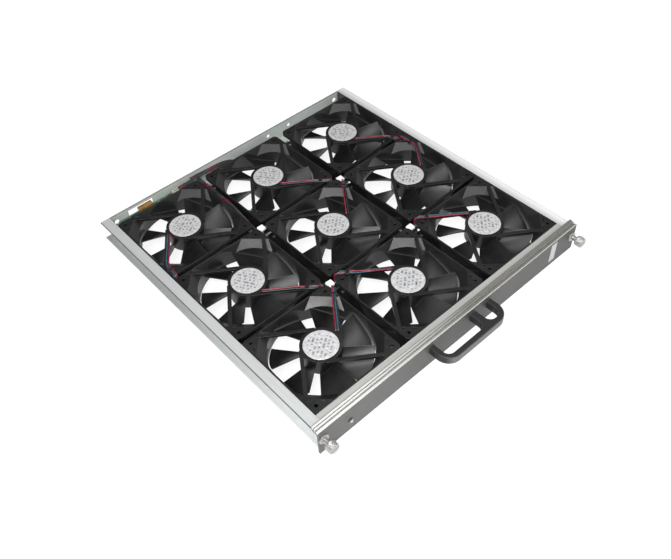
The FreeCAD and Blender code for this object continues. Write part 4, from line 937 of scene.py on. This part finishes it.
def add_tag():
    """Plain pale tag on the panel's face: a thin plate with its edges cut off."""
    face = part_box("front_panel")[0].y
    low = (TAG_X[0] * MM, face - TAG_FRONT * MM, TAG_Z[0] * MM)
    high = (TAG_X[1] * MM, face - TAG_BACK * MM, TAG_Z[1] * MM)
    tag = add_mesh("blank_tag", *rounded_block(low, high, TAG_ROUND * MM), smooth=False)
    tones = (0.36, 0.36, 0.36), (0.43, 0.43, 0.43), (0.46, 0.46, 0.46)
    paper = moulded("tag_paper", *tones, 0.5, 60, 1800, 0.05)
    finish_piece(tag, paper, "tray")


add_tag()

# Each component's place in X and Y, width, depth and height
BOARD_PARTS = {
    "board_chips": ("black_wire", [
        (-116, 195, 9.8, 6.0, 1.7), (-162, 195.5, 5.0, 6.2, 1.5), (-107.5, 199.5, 4.0, 3.2, 1.1),
    ]),
    "board_capacitors": ("plug_tan", [
        (-170, 192, 3.4, 1.8, 1.5), (-125, 191, 3.4, 1.8, 1.5), (-104.5, 190.6, 2.2, 1.4, 1.0),
        (-66, 190, 3.0, 1.6, 1.2),
    ]),
    "board_resistors": ("header_white", [
        (-168, 198.5, 2.0, 1.2, 0.6), (-155, 192, 1.2, 2.0, 0.6), (-152, 191, 1.2, 2.0, 0.6),
        (-124, 198.6, 2.0, 1.2, 0.6), (-120, 190.4, 2.0, 1.2, 0.6), (-109, 192.6, 1.2, 2.0, 0.6),
        (-65.5, 199.5, 2.0, 1.2, 0.6),
    ]),
}
COMPONENT_SINK = 0.05
COMPONENT_ROUND = 0.12


def add_board_parts():
    """Components on the board: blocks with their edges cut off, a little sunk into the board."""
    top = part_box("circuit_board")[1].z / MM
    for piece, (slot, places) in BOARD_PARTS.items():
        blocks = [
            rounded_block((x - wide / 2, y - deep / 2, top - COMPONENT_SINK),
                          (x + wide / 2, y + deep / 2, top + high), COMPONENT_ROUND)
            for x, y, wide, deep, high in places
        ]
        points, faces = merged(blocks)
        finish_piece(add_mesh(piece, points * MM, faces, smooth=False), FINISHES[slot], "tray")


add_board_parts()

KNURL_TEETH = 40
KNURL_ROWS = 29
KNURL_TURNS = 7
KNURL_START, KNURL_END = 0.8, 7.8
KNURL_RISE, KNURL_SINK = 0.16, 0.02


def add_knurls():
    """Knurled band of each knob: its radius rises and falls round the knob and along it, as the
    crossing of two sets of helical grooves does."""
    for side in ("left", "right"):
        low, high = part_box(f"{side}_thumbscrew")
        centre_x, centre_z = (low.x + high.x) / 2, (low.z + high.z) / 2
        radius = (high.x - low.x) / 2
        start, end = low.y + KNURL_START * MM, low.y + KNURL_END * MM
        segments = KNURL_TEETH * 4
        angle = np.arange(segments) * 2 * math.pi / segments
        along = np.linspace(0, 1, KNURL_ROWS)
        twist = 2 * math.pi * along[:, None] * KNURL_TURNS
        teeth = angle * KNURL_TEETH
        wave = np.abs(np.sin((teeth + twist) / 2)) * np.abs(np.sin((teeth - twist) / 2))
        ease = np.clip(np.minimum(along, 1 - along) * 12, 0, 1)[:, None]
        reach = radius + (KNURL_RISE * wave * ease - KNURL_SINK) * MM
        length = np.repeat((start + (end - start) * along)[:, None], segments, 1)
        points = np.stack([centre_x + reach * np.cos(angle), length, centre_z + reach * np.sin(angle)], -1)
        points = points.reshape(-1, 3)
        band = add_mesh(f"{side}_knurl", points, grid_faces(KNURL_ROWS, segments), smooth=False)
        finish_piece(band, FINISHES["screw_nickel"], f"{side}_screw")


add_knurls()

# Stage, in metres

FLOOR_REACH = 12.0
# Place, size and power in watts of each lamp
LAMPS = {
    "key": ((-0.62, -0.47, 0.92), 0.4, 12.5),
    "top": ((-0.05, -0.1, 1.2), 0.5, 3.0),
    "front": ((0.1, -1.35, 0.5), 0.9, 5.0),
    "right": ((0.36, -0.55, 0.95), 0.5, 4.5),
    "left": ((-1.3, 0.1, 0.35), 0.6, 6.0),
}
LAMPS_WITHOUT_GLINT = ("front", "left")


def add_floor():
    """Pale floor that keeps the object's shadow and is white to the camera and in reflections."""
    size = FLOOR_REACH
    corners = np.array([[-size, -size], [size, -size], [size, size], [-size, size]])
    floor = add_mesh("floor", np.c_[corners, np.full(4, FLOOR_Z - 0.2 * MM)], [(0, 1, 2, 3)])
    material = bpy.data.materials.new("floor_white")
    material.use_nodes = True
    tree = material.node_tree
    tree.nodes.clear()
    out = tree.nodes.new("ShaderNodeOutputMaterial")
    light_path = tree.nodes.new("ShaderNodeLightPath")
    rays = light_path.outputs
    seen = math_node(tree, "MAXIMUM", rays["Is Camera Ray"], rays["Is Glossy Ray"])
    matte = tree.nodes.new("ShaderNodeBsdfDiffuse")
    matte.inputs["Color"].default_value = (0.8, 0.8, 0.8, 1)
    faint = tree.nodes.new("ShaderNodeBsdfDiffuse")
    faint.inputs["Color"].default_value = (0.22, 0.22, 0.22, 1)
    glow = tree.nodes.new("ShaderNodeEmission")
    glow.inputs["Color"].default_value = (1, 1, 1, 1)
    glow.inputs["Strength"].default_value = 0.86
    bright = tree.nodes.new("ShaderNodeAddShader")
    tree.links.new(faint.outputs[0], bright.inputs[0])
    tree.links.new(glow.outputs[0], bright.inputs[1])
    mix = tree.nodes.new("ShaderNodeMixShader")
    tree.links.new(seen, mix.inputs["Fac"])
    tree.links.new(matte.outputs[0], mix.inputs[1])
    tree.links.new(bright.outputs[0], mix.inputs[2])
    tree.links.new(mix.outputs[0], out.inputs["Surface"])
    dress(floor, material)


def add_surround():
    """World that is white to the camera, and lights the object from the sides and the front: its
    strength grows with the reach along X, and fades towards the rear."""
    world = bpy.data.worlds.new("surround")
    bpy.context.scene.world = world
    world.use_nodes = True
    tree = world.node_tree
    tree.nodes.clear()
    out = tree.nodes.new("ShaderNodeOutputWorld")
    light_path = tree.nodes.new("ShaderNodeLightPath")
    rays = light_path.outputs
    seen = math_node(tree, "MAXIMUM", rays["Is Camera Ray"], rays["Is Transmission Ray"])
    soft = tree.nodes.new("ShaderNodeBackground")
    soft.inputs["Color"].default_value = (1, 1, 1, 1)
    coords = tree.nodes.new("ShaderNodeTexCoord")
    split = tree.nodes.new("ShaderNodeSeparateXYZ")
    tree.links.new(coords.outputs["Generated"], split.inputs[0])
    glow = tree.nodes.new("ShaderNodeMapRange")
    glow.interpolation_type = "SMOOTHSTEP"
    for socket, number in zip(("From Min", "From Max", "To Min", "To Max"), (0.28, 0.8, 0.16, 1.0)):
        glow.inputs[socket].default_value = number
    aside = math_node(tree, "ABSOLUTE", split.outputs["X"])
    rearward = math_node(tree, "MULTIPLY", split.outputs["Y"], 2.5, True)
    ahead = math_node(tree, "SUBTRACT", 1.0, rearward, True)
    tree.links.new(math_node(tree, "MULTIPLY", aside, ahead), glow.inputs["Value"])
    tree.links.new(glow.outputs["Result"], soft.inputs["Strength"])
    white = tree.nodes.new("ShaderNodeBackground")
    white.inputs["Color"].default_value = (1, 1, 1, 1)
    white.inputs["Strength"].default_value = 1.0
    mix = tree.nodes.new("ShaderNodeMixShader")
    tree.links.new(seen, mix.inputs["Fac"])
    tree.links.new(soft.outputs[0], mix.inputs[1])
    tree.links.new(white.outputs[0], mix.inputs[2])
    tree.links.new(mix.outputs[0], out.inputs["Surface"])


def add_lamps():
    """Soft square lamps that face the origin. The front and left ones don't show in reflections."""
    for name, (place, size, power) in LAMPS.items():
        data = bpy.data.lights.new(name, "AREA")
        data.size = size
        data.energy = power
        lamp = bpy.data.objects.new(name, data)
        bpy.context.scene.collection.objects.link(lamp)
        lamp.location = place
        lamp.rotation_mode = "QUATERNION"
        lamp.rotation_quaternion = (-Vector(place)).to_track_quat("-Z", "Y")
        lamp.visible_glossy = name not in LAMPS_WITHOUT_GLINT


add_floor()
add_surround()
add_lamps()
bpy.context.scene.view_settings.view_transform = "Standard"
